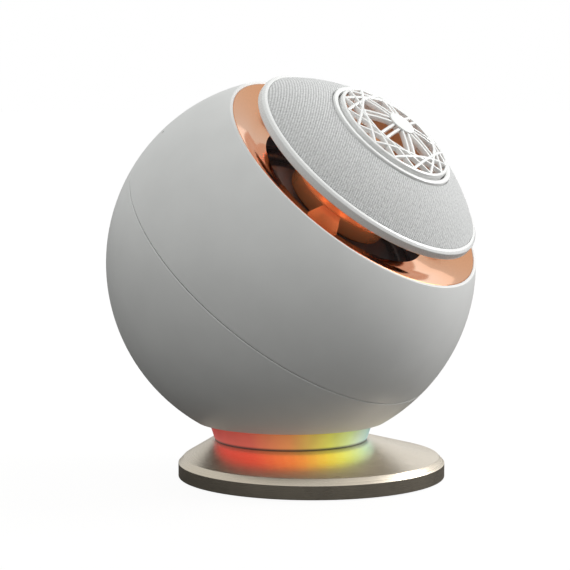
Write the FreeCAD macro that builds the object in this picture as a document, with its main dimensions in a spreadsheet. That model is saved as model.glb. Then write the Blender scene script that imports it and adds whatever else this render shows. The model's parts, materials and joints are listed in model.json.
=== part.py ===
import FreeCAD, Part
import Sketcher
import math
import os

"""Smart speaker: a ball on a lit neck and a flat foot, with a tilted head over a sound slot.

Three frames are used, all in millimetres:
  row   the part's own frame: +Z up, -Y to the front, origin on the floor under the ball
  ball  the row frame moved up to the ball's centre
  head  the ball frame leaned towards the front by head_tilt; its axis is the speaker's axis
"""

DOC = FreeCAD.newDocument("SmartSpeaker")
SHEET = DOC.addObject("Spreadsheet::Sheet", "Dims")
SUB_PARTS = []

DIMENSIONS = {
    # overall
    "ball_radius": 80.0,
    "seat_height": 15.55,
    "head_tilt": 41.3,
    "fit_gap": 0.1,
    "move_gap": 0.35,
    # shells
    "shell_wall": 2.6,
    "seam_drop": 5.0,
    "tongue_length": 4.0,
    "tongue_wall": 1.5,
    "tongue_gap": 0.25,
    "tongue_root": 6.0,
    "opening_height": 48.0,
    "lip_width": 1.3,
    "ledge_drop": 4.0,
    "ledge_width": 2.5,
    "ledge_thickness": 2.2,
    "floor_cut": 11.6,
    "neck_bore_radius": 16.0,
    # sound dish, its webs, plug and column
    "dish_inner_radius": 40.5,
    "dish_inner_height": 40.3,
    "dish_wall": 1.6,
    "throat_foot_radius": 47.4,
    "hub_radius": 23.4,
    "hub_thickness": 2.4,
    "hub_bore_radius": 8.0,
    "web_half_angle": 10.5,
    "back_web_angle": 90.0,
    "web_spread": 110.0,
    "plug_side": 4.4,
    "plug_nose": 3.2,
    "plug_wall": 1.4,
    "plug_nose_radius": 16.0,
    "column_waist_radius": 20.5,
    "column_flange_radius": 38.0,
    "column_flange_thickness": 2.0,
    "column_flare": 3.4,
    "column_bore_radius": 5.0,
    # head
    "slot_height": 7.7,
    "head_radius": 55.6,
    "head_side": 3.1,
    "head_bevel": 1.2,
    "fabric_edge_radius": 53.3,
    "fabric_edge_height": 4.4,
    "crown_radius": 80.8,
    "fabric_thickness": 0.8,
    "carrier_thickness": 1.5,
    "tray_radius": 54.0,
    "tray_thickness": 2.2,
    "collar_radius": 30.2,
    "collar_width": 2.2,
    "collar_proud": 1.0,
    # grille puck and tweeter
    "puck_radius": 27.3,
    "puck_crown_radius": 81.6,
    "puck_height": 23.7,
    "puck_rim_width": 1.4,
    "puck_foot_rise": 10.1,
    "lattice_thickness": 2.2,
    "star_radius": 26.0,
    "bar_width": 1.6,
    "star_points": 16,
    "star_first_angle": 11.25,
    "spoke_pairs": 8,
    "spoke_spacing": 3.0,
    "lattice_hub_radius": 5.6,
    "cap_radius": 6.2,
    "cap_thickness": 0.8,
    "tweeter_throat_radius": 12.2,
    "tweeter_throat_drop": 3.5,
    "tweeter_wall": 1.8,
    "tweeter_dome_rise": 3.6,
    "tweeter_magnet_radius": 15.0,
    "tweeter_vent_radius": 3.0,
    # woofer and its baffle
    "baffle_top": 30.0,
    "baffle_thickness": 4.0,
    "baffle_bore_radius": 47.2,
    "baffle_ledge_width": 3.4,
    "baffle_ledge_thickness": 2.5,
    "woofer_flange_radius": 52.0,
    "woofer_flange_bore": 44.5,
    "woofer_flange_thickness": 2.5,
    "basket_foot_radius": 33.0,
    "basket_foot_top": 4.0,
    "basket_foot_bottom": 2.0,
    "basket_wall": 2.0,
    "spider_ledge_radius": 30.0,
    "spider_ledge_width": 2.5,
    "spider_height": 6.0,
    "spider_thickness": 0.7,
    "window_width": 18.0,
    "window_height": 11.0,
    "window_count": 6,
    "top_plate_thickness": 4.0,
    "magnet_radius": 31.0,
    "magnet_bore_radius": 16.0,
    "magnet_thickness": 14.0,
    "back_plate_thickness": 4.0,
    "pole_radius": 12.0,
    "coil_inner_radius": 12.4,
    "coil_wall": 0.5,
    "coil_bottom": -6.0,
    "coil_top": 11.0,
    "cone_throat_height": 9.0,
    "cone_mouth_radius": 35.5,
    "cone_mouth_height": 24.0,
    "cone_rim_width": 2.0,
    "cone_wall": 0.8,
    "dust_cap_radius": 15.0,
    "dust_cap_rise": 4.0,
    "surround_thickness": 0.6,
    "surround_rise": 2.8,
    # neck and light ring
    "diffuser_top_radius": 36.0,
    "diffuser_bottom_radius": 33.2,
    "diffuser_wall": 2.2,
    "neck_height": 8.4,
    "post_radius": 21.0,
    "post_bore_radius": 18.0,
    "post_flange_radius": 30.2,
    "post_flange_thickness": 2.0,
    "led_board_inner_radius": 22.0,
    "led_board_thickness": 1.0,
    "led_count": 12,
    "led_size": 2.8,
    "led_height": 1.1,
    "led_circle_radius": 28.0,
    # foot
    "plate_radius": 57.8,
    "plate_forward": 10.3,
    "plate_bottom": 1.0,
    "plate_side_top": 6.25,
    "plate_bevel_width": 2.4,
    "plate_bevel_top": 8.85,
    "plate_seat_radius": 34.4,
    "plate_wall": 2.6,
    "cavity_top": 6.0,
    "cover_thickness": 1.6,
    "foot_inset": 9.0,
    "foot_width": 8.0,
    "ballast_inset": 5.2,
    "ballast_width": 14.0,
    "ballast_thickness": 3.0,
    "ballast_notch_width": 34.0,
    "socket_width": 8.94,
    "socket_height": 3.2,
    "socket_length": 7.3,
    "socket_wall": 0.3,
    "socket_tongue_width": 6.7,
    "socket_tongue_thickness": 0.7,
    "socket_tongue_length": 4.5,
    "power_board_width": 30.0,
    "power_board_length": 34.0,
    "power_board_thickness": 1.2,
    "lead_radius": 2.2,
    "lead_back": 11.0,
    # electronics in the ball
    "main_board_radius": 44.0,
    "main_board_drop": 52.0,
    "board_thickness": 1.6,
    "post_circle_radius": 35.0,
    "spacer_radius": 2.8,
    "sink_width": 24.0,
    "sink_height": 8.0,
    "sink_base": 2.0,
    "sink_fins": 6,
    "chip_width": 14.0,
    "chip_height": 1.4,
    # controls on the back of the ball
    "button_lean": 78.5,
    "button_spacing": 13.0,
    "button_radius": 4.6,
    "button_hole_radius": 5.0,
    "button_proud": 0.5,
    "button_travel": 0.8,
    "button_flange_radius": 6.1,
    "button_flange_thickness": 1.0,
    "button_stem_radius": 1.5,
    "button_board_depth": 10.0,
    "button_board_height": 14.0,
    "switch_size": 6.0,
    "switch_height": 3.0,
    "boss_radius": 3.0,
    "mic_turn": 29.2,
    "mic_hole_radius": 0.8,
    "mic_radius": 2.5,
    "mic_height": 1.6,
    # fasteners
    "screw_radius": 1.4,
    "screw_head_radius": 2.5,
    "screw_head_height": 1.5,
    "flat_head_height": 0.7,
}


class Size:
    """A length written as an expression of the sheet's values, which FreeCAD keeps live."""

    def __init__(self, text):
        self.text = str(text)

    def __str__(self):
        return self.text

    def __float__(self):
        return float(SHEET.evalExpression(self.text))

    def __add__(self, other):
        return Size(f"({self} + {other})")

    def __sub__(self, other):
        return Size(f"({self} - {other})")

    def __mul__(self, other):
        return Size(f"({self} * {other})")

    def __truediv__(self, other):
        return Size(f"({self} / {other})")

    def __neg__(self):
        return Size(f"(0 - {self})")


def dim(name):
    """Return the named value of the sheet as a live size."""
    if name not in DIMENSIONS:
        raise KeyError(name)
    return Size("Dims." + name)


def across(radius, distance):
    """Return a sphere's half-width at a distance from its centre, or the reverse."""
    return Size(f"sqrt({radius} * {radius} - {distance} * {distance})")


def fill_sheet():
    """Write every driving dimension to the sheet under its own name."""
    for row, (name, value) in enumerate(DIMENSIONS.items(), start=1):
        SHEET.set(f"A{row}", str(value))
        SHEET.setAlias(f"A{row}", name)
    DOC.recompute()


# ---------------------------------------------------------------- building blocks

ARC = "arc about the axis"


def set_sizes(item, **sizes):
    """Bind an object's properties to sizes."""
    for name, size in sizes.items():
        item.setExpression(name, str(size))
    return item


def move(item, x=0, y=0, z=0):
    """Bind an object's place to sizes."""
    for axis, size in (("x", x), ("y", y), ("z", z)):
        item.setExpression(f".Placement.Base.{axis}", str(size))
    return item


def rod(label, radius, height, x=0, y=0, z=0):
    """Make an upright cylinder that stands on (x, y, z)."""
    item = DOC.addObject("Part::Cylinder", label)
    return move(set_sizes(item, Radius=radius, Height=height), x, y, z)


def ring(label, outer, inner, height, z=0, x=0, y=0):
    """Make an upright tube that stands on (x, y, z)."""
    return cut(label, rod(label + "_disc", outer, height, x, y, z), rod(label + "_hole", inner, height, x, y, z))


def block(label, width, depth, height, x=0, y=0, z=0):
    """Make a box centred on (x, y) that stands on z."""
    item = DOC.addObject("Part::Box", label)
    set_sizes(item, Length=width, Width=depth, Height=height)
    return move(item, Size(x) - Size(width) / 2, Size(y) - Size(depth) / 2, z)


def ball(label, radius, z=0):
    """Make a sphere about a point of the axis."""
    return move(set_sizes(DOC.addObject("Part::Sphere", label), Radius=radius), 0, 0, z)


def cut(label, base, *tools):
    """Take the tools from the base."""
    tool = tools[0] if len(tools) == 1 else fuse(label + "_tools", *tools)
    item = DOC.addObject("Part::Cut", label)
    item.Base = base
    item.Tool = tool
    return item


def fuse(label, *shapes):
    """Join shapes, or hold separate ones as one group."""
    item = DOC.addObject("Part::MultiFuse", label)
    item.Shapes = list(shapes)
    return item


def common(label, *shapes):
    """Keep what the shapes share."""
    item = DOC.addObject("Part::MultiCommon", label)
    item.Shapes = list(shapes)
    return item


def origin_plane(body, role):
    """Return one of a body's own origin planes."""
    return next(plane for plane in body.Origin.OriginFeatures if plane.Role == role)


def turned(label, *outline):
    """Revolve a closed outline of (radius, height) corners about the axis.

    A corner marked ARC starts an arc to the next corner, centred on the axis.
    """
    body = DOC.addObject("PartDesign::Body", label)
    sketch = body.newObject("Sketcher::SketchObject", label + "_outline")
    sketch.AttachmentSupport = [(origin_plane(body, "XZ_Plane"), "")]
    sketch.MapMode = "FlatFace"
    places = [(float(Size(corner[0])), float(Size(corner[1]))) for corner in outline]
    edges = []
    for index, corner in enumerate(outline):
        start = places[index]
        end = places[(index + 1) % len(places)]
        edges.append(draw_edge(sketch, start, end, ARC in corner))
    for index, corner in enumerate(outline):
        edge, vertex = edges[index][0], edges[index][1]
        before, last = edges[index - 1][0], edges[index - 1][2]
        sketch.addConstraint(Sketcher.Constraint("Coincident", before, last, edge, vertex))
        pin_corner(sketch, edge, vertex, places[index], corner)
    turn = body.newObject("PartDesign::Revolution", label + "_turn")
    turn.Profile = sketch
    turn.ReferenceAxis = (sketch, ["V_Axis"])
    turn.Angle = 360
    return body


def draw_edge(sketch, start, end, is_arc):
    """Add one edge and return its number with its start and end vertices."""
    if not is_arc:
        line = Part.LineSegment(FreeCAD.Vector(*start, 0), FreeCAD.Vector(*end, 0))
        return sketch.addGeometry(line, False), 1, 2
    squares = start[0] ** 2 + start[1] ** 2 - end[0] ** 2 - end[1] ** 2
    centre = squares / (2 * (start[1] - end[1]))
    radius = math.hypot(start[0], start[1] - centre)
    first = math.atan2(start[1] - centre, start[0])
    last = math.atan2(end[1] - centre, end[0])
    circle = Part.Circle(FreeCAD.Vector(0, centre, 0), FreeCAD.Vector(0, 0, 1), radius)
    edge = sketch.addGeometry(Part.ArcOfCircle(circle, min(first, last), max(first, last)), False)
    sketch.addConstraint(Sketcher.Constraint("PointOnObject", edge, 3, -2))
    return (edge, 1, 2) if last > first else (edge, 2, 1)


def pin_corner(sketch, edge, vertex, place, corner):
    """Hold a corner at its radius and height."""
    for kind, axis, value, size in (("DistanceX", -2, place[0], corner[0]), ("DistanceY", -1, place[1], corner[1])):
        if abs(value) < 1e-9:
            sketch.addConstraint(Sketcher.Constraint("PointOnObject", edge, vertex, axis))
            continue
        index = sketch.addConstraint(Sketcher.Constraint(kind, -1, 1, edge, vertex, value))
        sketch.setExpression(f"Constraints[{index}]", str(size))


def around(count, radius, first=0.0):
    """Return the (x, y) places of a circle of holes or screws."""
    step = 360 / count
    angles = [math.radians(first + step * index) for index in range(count)]
    return [(Size(radius) * round(math.cos(angle), 9), Size(radius) * round(math.sin(angle), 9)) for angle in angles]


def holes(label, places, z, depth):
    """Make the clearance holes of screws at the places."""
    radius = dim("screw_radius") + dim("fit_gap")
    return [rod(f"{label}_{index}", radius, depth, x, y, z) for index, (x, y) in enumerate(places)]


def screws(label, places, z, length, head_up, head=None):
    """Make a group of screws whose heads seat at height z."""
    head = head or dim("screw_head_height")
    solids = []
    for index, (x, y) in enumerate(places):
        head_foot = z if head_up else Size(z) - head
        shank_foot = Size(z) - length if head_up else Size(z)
        cap = rod(f"{label}_head_{index}", dim("screw_head_radius"), head, x, y, head_foot)
        shank = rod(f"{label}_shank_{index}", dim("screw_radius"), length, x, y, shank_foot)
        solids.append(fuse(f"{label}_{index}", cap, shank))
    return fuse(label, *solids)


def copy_around(label, item, count, first, frame_turn=0.0):
    """Return copies of an object turned about the axis."""
    copies = []
    for index in range(count):
        copy = DOC.addObject("Part::Compound", f"{label}_{index}")
        copy.Links = [item]
        turn = FreeCAD.Rotation(FreeCAD.Vector(0, 0, 1), first + 360 * index / count + frame_turn)
        copy.Placement = FreeCAD.Placement(FreeCAD.Vector(), turn)
        copies.append(copy)
    return copies


def keep(item, frame="row"):
    """Seat a finished sub-part in its frame and list it for writing."""
    lean = {"row": None, "ball": None, "head": dim("head_tilt"), "button": dim("head_tilt") - dim("button_lean")}
    if frame != "row":
        item.setExpression(".Placement.Base.z", str(CENTRE))
    if lean[frame] is not None:
        item.Placement = FreeCAD.Placement(FreeCAD.Vector(), FreeCAD.Rotation(FreeCAD.Vector(1, 0, 0), 1))
        item.setExpression(".Placement.Rotation.Angle", f"{lean[frame]} * 1 deg")
        item.setExpression(".Placement.Base.z", str(CENTRE))
    SUB_PARTS.append(item)
    return item


def leaned(label, item, lean):
    """Turn a ready shape about the X axis by a lean in degrees."""
    holder = DOC.addObject("Part::Compound", label)
    holder.Links = [item]
    holder.Placement = FreeCAD.Placement(FreeCAD.Vector(), FreeCAD.Rotation(FreeCAD.Vector(1, 0, 0), 1))
    holder.setExpression(".Placement.Rotation.Angle", f"{lean} * 1 deg")
    return holder


fill_sheet()

GAP = dim("fit_gap")
BALL = dim("ball_radius")
INSIDE = BALL - dim("shell_wall")
FLOOR_DROP = BALL - dim("floor_cut")
SEAT_HEIGHT = dim("seat_height")
FLOOR = SEAT_HEIGHT + dim("neck_height")
CENTRE = FLOOR + FLOOR_DROP
SEAM = -dim("seam_drop")
OPENING = dim("opening_height")
RIM_OUTER = across(BALL, OPENING)
RIM_INNER = RIM_OUTER - dim("lip_width")
SCREW_BITE = 3.0
THREE_SCREWS = 3
FOUR_SCREWS = 4

# ---------------------------------------------------------------- foot

COVER_TOP = dim("plate_bottom") + dim("cover_thickness")
PLATE_Y = -dim("plate_forward")
CAVITY_RADIUS = dim("plate_radius") - dim("plate_wall")
BEVEL_RADIUS = dim("plate_radius") - dim("plate_bevel_width")
FOOT_OUTER = dim("plate_radius") - dim("foot_inset")
BALLAST_OUTER = CAVITY_RADIUS - dim("ballast_inset")
COVER_SCREW_CIRCLE = CAVITY_RADIUS - dim("screw_head_radius") - GAP * 4
BOSS_WALL = 1.2
PLATE_BACK = dim("plate_radius") - dim("plate_forward")
SOCKET_Z = COVER_TOP
SOCKET_BACK = PLATE_BACK - dim("plate_wall") * 0.25


def flat_circle(label, radius, y, z):
    """Make a level circle for a loft."""
    item = DOC.addObject("Part::Circle", label)
    return move(set_sizes(item, Radius=radius), 0, y, z)


def slant(label, low, high):
    """Loft between two level circles, each (radius, y, z)."""
    item = DOC.addObject("Part::Loft", label)
    item.Sections = [flat_circle(label + "_low", *low), flat_circle(label + "_high", *high)]
    item.Solid = True
    item.Ruled = True
    return item


def socket_block(label, width, height, length, grow):
    """Make a block that runs inwards from the socket's mouth, grown all round."""
    item = block(label, width + grow * 2, length, height + grow * 2, 0, SOCKET_BACK - length / 2, SOCKET_Z - grow)
    return item


def build_foot():
    """Build the weighted metal foot with its cover, pad, ballast and power inlet."""
    places = [(x, y + PLATE_Y) for x, y in around(FOUR_SCREWS, COVER_SCREW_CIRCLE, 45.0)]
    side_height = dim("plate_side_top") - dim("plate_bottom")
    side = rod("plate_side", dim("plate_radius"), side_height, 0, PLATE_Y, dim("plate_bottom"))
    bevel_low = (dim("plate_radius"), PLATE_Y, dim("plate_side_top"))
    bevel_high = (BEVEL_RADIUS, PLATE_Y, dim("plate_bevel_top"))
    seat = (dim("plate_seat_radius"), 0, SEAT_HEIGHT)
    outside = fuse("plate_outside", side, slant("plate_bevel", bevel_low, bevel_high),
                   slant("plate_top", bevel_high, seat))
    cavity_side = rod("plate_cavity", CAVITY_RADIUS, dim("cavity_top") - dim("plate_bottom"), 0, PLATE_Y,
                      dim("plate_bottom"))
    roof_low = (BEVEL_RADIUS - dim("plate_wall"), PLATE_Y, dim("cavity_top"))
    roof_high = (dim("plate_seat_radius") - dim("plate_wall"), 0, SEAT_HEIGHT - dim("plate_wall"))
    hollow = cut("plate_hollow", outside, cavity_side, slant("plate_roof", roof_low, roof_high))
    bosses = [rod(f"plate_boss_{index}", dim("screw_radius") + BOSS_WALL, dim("cavity_top") - COVER_TOP + GAP,
                  x, y, COVER_TOP) for index, (x, y) in enumerate(places)]
    solid = fuse("plate_solid", hollow, *bosses)
    slot = block("plate_socket_slot", dim("socket_width") + GAP * 2, dim("plate_wall") * 4,
                 dim("socket_height") + GAP * 2, 0, PLATE_BACK, SOCKET_Z - GAP)
    bore = rod("plate_neck_bore", dim("post_bore_radius"), CENTRE, 0, 0, COVER_TOP)
    keep(cut("base_plate", solid, slot, bore, *holes("plate_hole", places, COVER_TOP, SCREW_BITE),
             *holes("plate_post_hole", around(THREE_SCREWS, POST_SCREW_CIRCLE, 30.0),
                    SEAT_HEIGHT - dim("plate_wall") * 2, dim("plate_wall") * 2)))

    cover = rod("cover_disc", CAVITY_RADIUS - GAP, dim("cover_thickness"), 0, PLATE_Y, dim("plate_bottom"))
    keep(cut("bottom_cover", cover, *holes("cover_hole", places, dim("plate_bottom"), dim("cover_thickness"))))
    keep(ring("foot_pad", FOOT_OUTER, FOOT_OUTER - dim("foot_width"), dim("plate_bottom"), 0, 0, PLATE_Y))
    keep(screws("base_screws", places, dim("plate_bottom"), dim("cover_thickness") + SCREW_BITE - GAP, False,
                dim("flat_head_height")))
    weight = ring("ballast_disc", BALLAST_OUTER, BALLAST_OUTER - dim("ballast_width"),
                  dim("ballast_thickness"), COVER_TOP, 0, PLATE_Y)
    notch = block("ballast_notch", dim("ballast_notch_width"), dim("plate_radius"), dim("ballast_thickness"),
                  0, dim("plate_radius") - dim("plate_forward"), COVER_TOP)
    reliefs = [rod(f"ballast_relief_{index}", dim("screw_radius") + BOSS_WALL + GAP * 2, dim("ballast_thickness"),
                   x, y, COVER_TOP) for index, (x, y) in enumerate(places)]
    keep(cut("ballast_ring", weight, notch, *reliefs))
    build_power_inlet()


def build_power_inlet():
    """Build the flat power socket at the back of the foot, its board and the lead to the main board."""
    wall = dim("socket_wall")
    body = socket_block("socket_body", dim("socket_width"), dim("socket_height"), dim("socket_length"), Size(0))
    mouth_length = dim("socket_length") - dim("socket_wall") * 4
    mouth = socket_block("socket_mouth", dim("socket_width"), dim("socket_height"), mouth_length, -wall)
    tongue = block("socket_tongue", dim("socket_tongue_width"), dim("socket_tongue_length") + wall,
                   dim("socket_tongue_thickness"), 0,
                   SOCKET_BACK - mouth_length + dim("socket_tongue_length") / 2 - wall / 2,
                   SOCKET_Z + dim("socket_height") / 2 - dim("socket_tongue_thickness") / 2)
    keep(fuse("power_socket", cut("socket_shell", body, mouth), tongue))
    board_back = SOCKET_BACK - dim("socket_length")
    keep(block("power_board", dim("power_board_width"), dim("power_board_length"), dim("power_board_thickness"),
               0, board_back - dim("power_board_length") / 2, COVER_TOP))
    lead_foot = COVER_TOP + dim("power_board_thickness")
    keep(rod("power_lead", dim("lead_radius"), CENTRE - dim("main_board_drop") - lead_foot, 0, dim("lead_back"),
             lead_foot))


# ---------------------------------------------------------------- neck

POST_SCREW_CIRCLE = dim("post_radius") + dim("screw_head_radius") + GAP * 2


def build_neck():
    """Build the post that carries the ball, with the light ring around it."""
    thick = dim("post_flange_thickness")
    low = around(THREE_SCREWS, POST_SCREW_CIRCLE, 30.0)
    high = around(THREE_SCREWS, POST_SCREW_CIRCLE, 90.0)
    post = turned("post_blank",
                  (dim("post_bore_radius"), SEAT_HEIGHT),
                  (dim("post_flange_radius"), SEAT_HEIGHT),
                  (dim("post_flange_radius"), SEAT_HEIGHT + thick),
                  (dim("post_radius"), SEAT_HEIGHT + thick),
                  (dim("post_radius"), FLOOR - thick),
                  (dim("post_flange_radius"), FLOOR - thick),
                  (dim("post_flange_radius"), FLOOR),
                  (dim("post_bore_radius"), FLOOR))
    keep(cut("neck_post", post, *holes("post_low_hole", low, SEAT_HEIGHT, thick),
             *holes("post_high_hole", high, FLOOR - thick, thick)))
    lower_length = dim("plate_wall") + thick - GAP
    keep(screws("neck_screws_lower", low, SEAT_HEIGHT - dim("plate_wall"), lower_length, False))
    keep(screws("neck_screws_upper", high, FLOOR + dim("shell_wall"), dim("shell_wall") + thick - GAP, True))

    wall = dim("diffuser_wall")
    keep(turned("light_diffuser",
                (dim("diffuser_bottom_radius"), SEAT_HEIGHT),
                (dim("diffuser_top_radius"), FLOOR),
                (dim("diffuser_top_radius") - wall, FLOOR),
                (dim("diffuser_bottom_radius") - wall, SEAT_HEIGHT)))
    board_foot = SEAT_HEIGHT + thick
    led_foot = board_foot + dim("led_board_thickness")
    board = ring("led_disc", dim("post_flange_radius"), dim("led_board_inner_radius"), dim("led_board_thickness"),
                 board_foot)
    keep(cut("led_board", board, *holes("led_board_hole", low, board_foot, dim("led_board_thickness"))))
    size = dim("led_size")
    chips = [block(f"led_{index}", size, size, dim("led_height"), x, y, led_foot)
             for index, (x, y) in enumerate(around(DIMENSIONS["led_count"], dim("led_circle_radius"), 15.0))]
    keep(fuse("led_chips", *chips))


# ---------------------------------------------------------------- shells

DISH_OUTER = RIM_INNER - GAP
LEDGE_TOP = OPENING - dim("ledge_drop")
LEDGE_INNER = RIM_INNER - dim("ledge_width")
BAFFLE_TOP = dim("baffle_top")
BAFFLE_RADIUS = across(INSIDE, BAFFLE_TOP) - GAP * 2
BAFFLE_LEDGE_TOP = BAFFLE_TOP + dim("baffle_ledge_thickness")
BAFFLE_LEDGE_INNER = BAFFLE_RADIUS - dim("baffle_ledge_width")
BOARD_TOP = INSIDE - dim("button_board_depth") + dim("board_thickness")
BOSS_SPACING = dim("button_spacing") + dim("button_flange_radius") + dim("boss_radius") + dim("move_gap") * 2


def button_places():
    """Return the sideways places of the three buttons with their names."""
    space = dim("button_spacing")
    return (("volume_down", -space), ("mute", Size(0)), ("volume_up", space))


def mic_directions():
    """Return the turn and lean of the two microphone holes about the head axis."""
    return [90.0 + side * DIMENSIONS["mic_turn"] for side in (-1, 1)]


def aimed(label, item, turn):
    """Aim an upright shape outwards through the ball at a turn about the head axis."""
    holder = DOC.addObject("Part::Compound", label)
    holder.Links = [item]
    about = FreeCAD.Rotation(FreeCAD.Vector(0, 0, 1), turn)
    lean = FreeCAD.Rotation(FreeCAD.Vector(0, 1, 0), DIMENSIONS["button_lean"])
    holder.Placement = FreeCAD.Placement(FreeCAD.Vector(), about.multiply(lean))
    return holder


def build_front_shell():
    """Build the upper shell: outer skin, slot lip, inner ledges, seam tongue, holes and bosses."""
    tongue_outer = across(INSIDE, dim("seam_drop") + dim("tongue_length")) - dim("tongue_gap")
    tongue_inner = tongue_outer - dim("tongue_wall")
    tongue_foot = SEAM - dim("tongue_length")
    tongue_root = SEAM + dim("tongue_root")
    under_ledge = LEDGE_TOP - dim("ledge_thickness")
    skin = turned("front_skin",
                  (across(BALL, SEAM), SEAM, ARC),
                  (RIM_OUTER, OPENING),
                  (RIM_INNER, OPENING),
                  (RIM_INNER, LEDGE_TOP),
                  (LEDGE_INNER, LEDGE_TOP),
                  (LEDGE_INNER, under_ledge),
                  (across(INSIDE, under_ledge), under_ledge, ARC),
                  (across(INSIDE, BAFFLE_LEDGE_TOP), BAFFLE_LEDGE_TOP),
                  (BAFFLE_LEDGE_INNER, BAFFLE_LEDGE_TOP),
                  (BAFFLE_LEDGE_INNER, BAFFLE_TOP),
                  (across(INSIDE, BAFFLE_TOP), BAFFLE_TOP, ARC),
                  (across(INSIDE, tongue_root), tongue_root),
                  (tongue_inner, tongue_root),
                  (tongue_inner, tongue_foot),
                  (tongue_outer, tongue_foot),
                  (tongue_outer, SEAM))
    lean_back = -dim("button_lean")
    bosses = [rod(f"boss_{side}", dim("boss_radius"), dim("button_board_depth"), BOSS_SPACING * side, 0,
                  BOARD_TOP) for side in (-1, 1)]
    boss_set = common("boss_set", fuse("boss_rods", *bosses), ball("boss_limit", BALL - dim("shell_wall") / 2))
    body = fuse("front_body", skin, leaned("boss_leaned", boss_set, lean_back))
    openings = [rod(f"button_hole_{name}", dim("button_hole_radius"), BALL, x, 0, INSIDE - dim("shell_wall"))
                for name, x in button_places()]
    opening_set = leaned("button_openings", fuse("button_hole_set", *openings), lean_back)
    drill = rod("mic_drill", dim("mic_hole_radius"), dim("shell_wall") * 3, 0, 0, INSIDE - dim("shell_wall"))
    drills = [aimed(f"mic_opening_{index}", drill, turn) for index, turn in enumerate(mic_directions())]
    boss_holes = [rod(f"boss_hole_{side}", dim("screw_radius") + GAP, SCREW_BITE, BOSS_SPACING * side, 0,
                      BOARD_TOP) for side in (-1, 1)]
    boss_hole_set = leaned("boss_holes", fuse("boss_hole_rods", *boss_holes), lean_back)
    ledge_holes = holes("ledge_hole", around(FOUR_SCREWS, BAFFLE_SCREW_CIRCLE, 45.0), BAFFLE_TOP, SCREW_BITE)
    keep(cut("front_shell", body, opening_set, boss_hole_set, *drills, *ledge_holes), "head")


def build_rear_shell():
    """Build the lower shell, which the seam's plane and the level floor cut from a ball."""
    wide = BALL * 3
    floor_z = -FLOOR_DROP
    above_floor = block("rear_above_floor", wide, wide, wide, 0, 0, floor_z)
    above_inner = block("rear_above_inner", wide, wide, wide, 0, 0, floor_z + dim("shell_wall"))
    below_seam = leaned("rear_below_seam", block("rear_seam_block", wide, wide, wide, 0, 0, SEAM - wide),
                        dim("head_tilt"))
    outside = common("rear_outside", ball("rear_ball", BALL), above_floor, below_seam)
    inside = common("rear_inside", ball("rear_hollow", INSIDE), above_inner)
    bore = rod("rear_bore", dim("neck_bore_radius"), dim("shell_wall") * 3, 0, 0, floor_z - dim("shell_wall"))
    screw_holes = holes("rear_hole", around(THREE_SCREWS, POST_SCREW_CIRCLE, 90.0), floor_z, dim("shell_wall"))
    keep(cut("rear_shell", outside, inside, bore, *screw_holes), "ball")


# ---------------------------------------------------------------- controls

def build_controls():
    """Build the three buttons with their switches and board, and the two microphones."""
    caps = ball("cap_limit", BALL + dim("button_proud"))
    flange_top = across(INSIDE, dim("button_spacing") + dim("button_flange_radius")) - dim("move_gap")
    flange_foot = flange_top - dim("button_flange_thickness")
    switch_top = BOARD_TOP + dim("switch_height")
    stem_foot = switch_top + dim("button_travel") + GAP * 2
    for name, x in button_places():
        head = common(f"{name}_head", rod(f"{name}_head_rod", dim("button_radius"), BALL, x, 0, flange_foot), caps)
        flange = rod(f"{name}_flange", dim("button_flange_radius"), dim("button_flange_thickness"), x, 0, flange_foot)
        stem = rod(f"{name}_stem", dim("button_stem_radius"), flange_foot - stem_foot + GAP, x, 0, stem_foot)
        keep(fuse(f"button_{name}", head, flange, stem), "button")
    screw_places = [(BOSS_SPACING * side, Size(0)) for side in (-1, 1)]
    board_foot = BOARD_TOP - dim("board_thickness")
    board = block("button_board_blank", (BOSS_SPACING + dim("boss_radius")) * 2, dim("button_board_height"),
                  dim("board_thickness"), 0, 0, board_foot)
    keep(cut("button_board", board, *holes("button_board_hole", screw_places, board_foot, dim("board_thickness"))),
         "button")
    keep(screws("button_board_screws", screw_places, board_foot,
                dim("board_thickness") + SCREW_BITE - GAP, False), "button")
    size = dim("switch_size")
    keep(fuse("tact_switches", *[block(f"switch_{name}", size, size, dim("switch_height"), x, 0, BOARD_TOP)
                                 for name, x in button_places()]), "button")
    mic_top = across(INSIDE, dim("mic_radius")) - GAP / 2
    capsule = rod("mic_capsule", dim("mic_radius"), dim("mic_height"), 0, 0, mic_top - dim("mic_height"))
    keep(fuse("microphones", *[aimed(f"mic_{index}", capsule, turn)
                               for index, turn in enumerate(mic_directions())]), "head")


# ---------------------------------------------------------------- woofer

BAFFLE_SCREW_CIRCLE = BAFFLE_LEDGE_INNER + dim("baffle_ledge_width") / 2 - GAP
WOOFER_TOP = BAFFLE_TOP - dim("baffle_thickness")
WOOFER_SCREW_CIRCLE = dim("woofer_flange_radius") - dim("screw_head_radius")


def build_baffle():
    """Build the board that carries the woofer under the dish, with both sets of screws."""
    outer = around(FOUR_SCREWS, BAFFLE_SCREW_CIRCLE, 45.0)
    inner = around(FOUR_SCREWS, WOOFER_SCREW_CIRCLE, 0.0)
    thick = dim("baffle_thickness")
    disc = ring("baffle_disc", BAFFLE_RADIUS, dim("baffle_bore_radius"), thick, WOOFER_TOP)
    keep(cut("baffle", disc, *holes("baffle_outer_hole", outer, WOOFER_TOP, thick),
             *holes("baffle_inner_hole", inner, WOOFER_TOP, SCREW_BITE)), "head")
    keep(screws("baffle_screws", outer, WOOFER_TOP, thick + dim("baffle_ledge_thickness") - GAP * 2, False), "head")
    flange_foot = WOOFER_TOP - dim("woofer_flange_thickness")
    keep(screws("woofer_screws", inner, flange_foot,
                dim("woofer_flange_thickness") + SCREW_BITE - GAP, False), "head")


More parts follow.
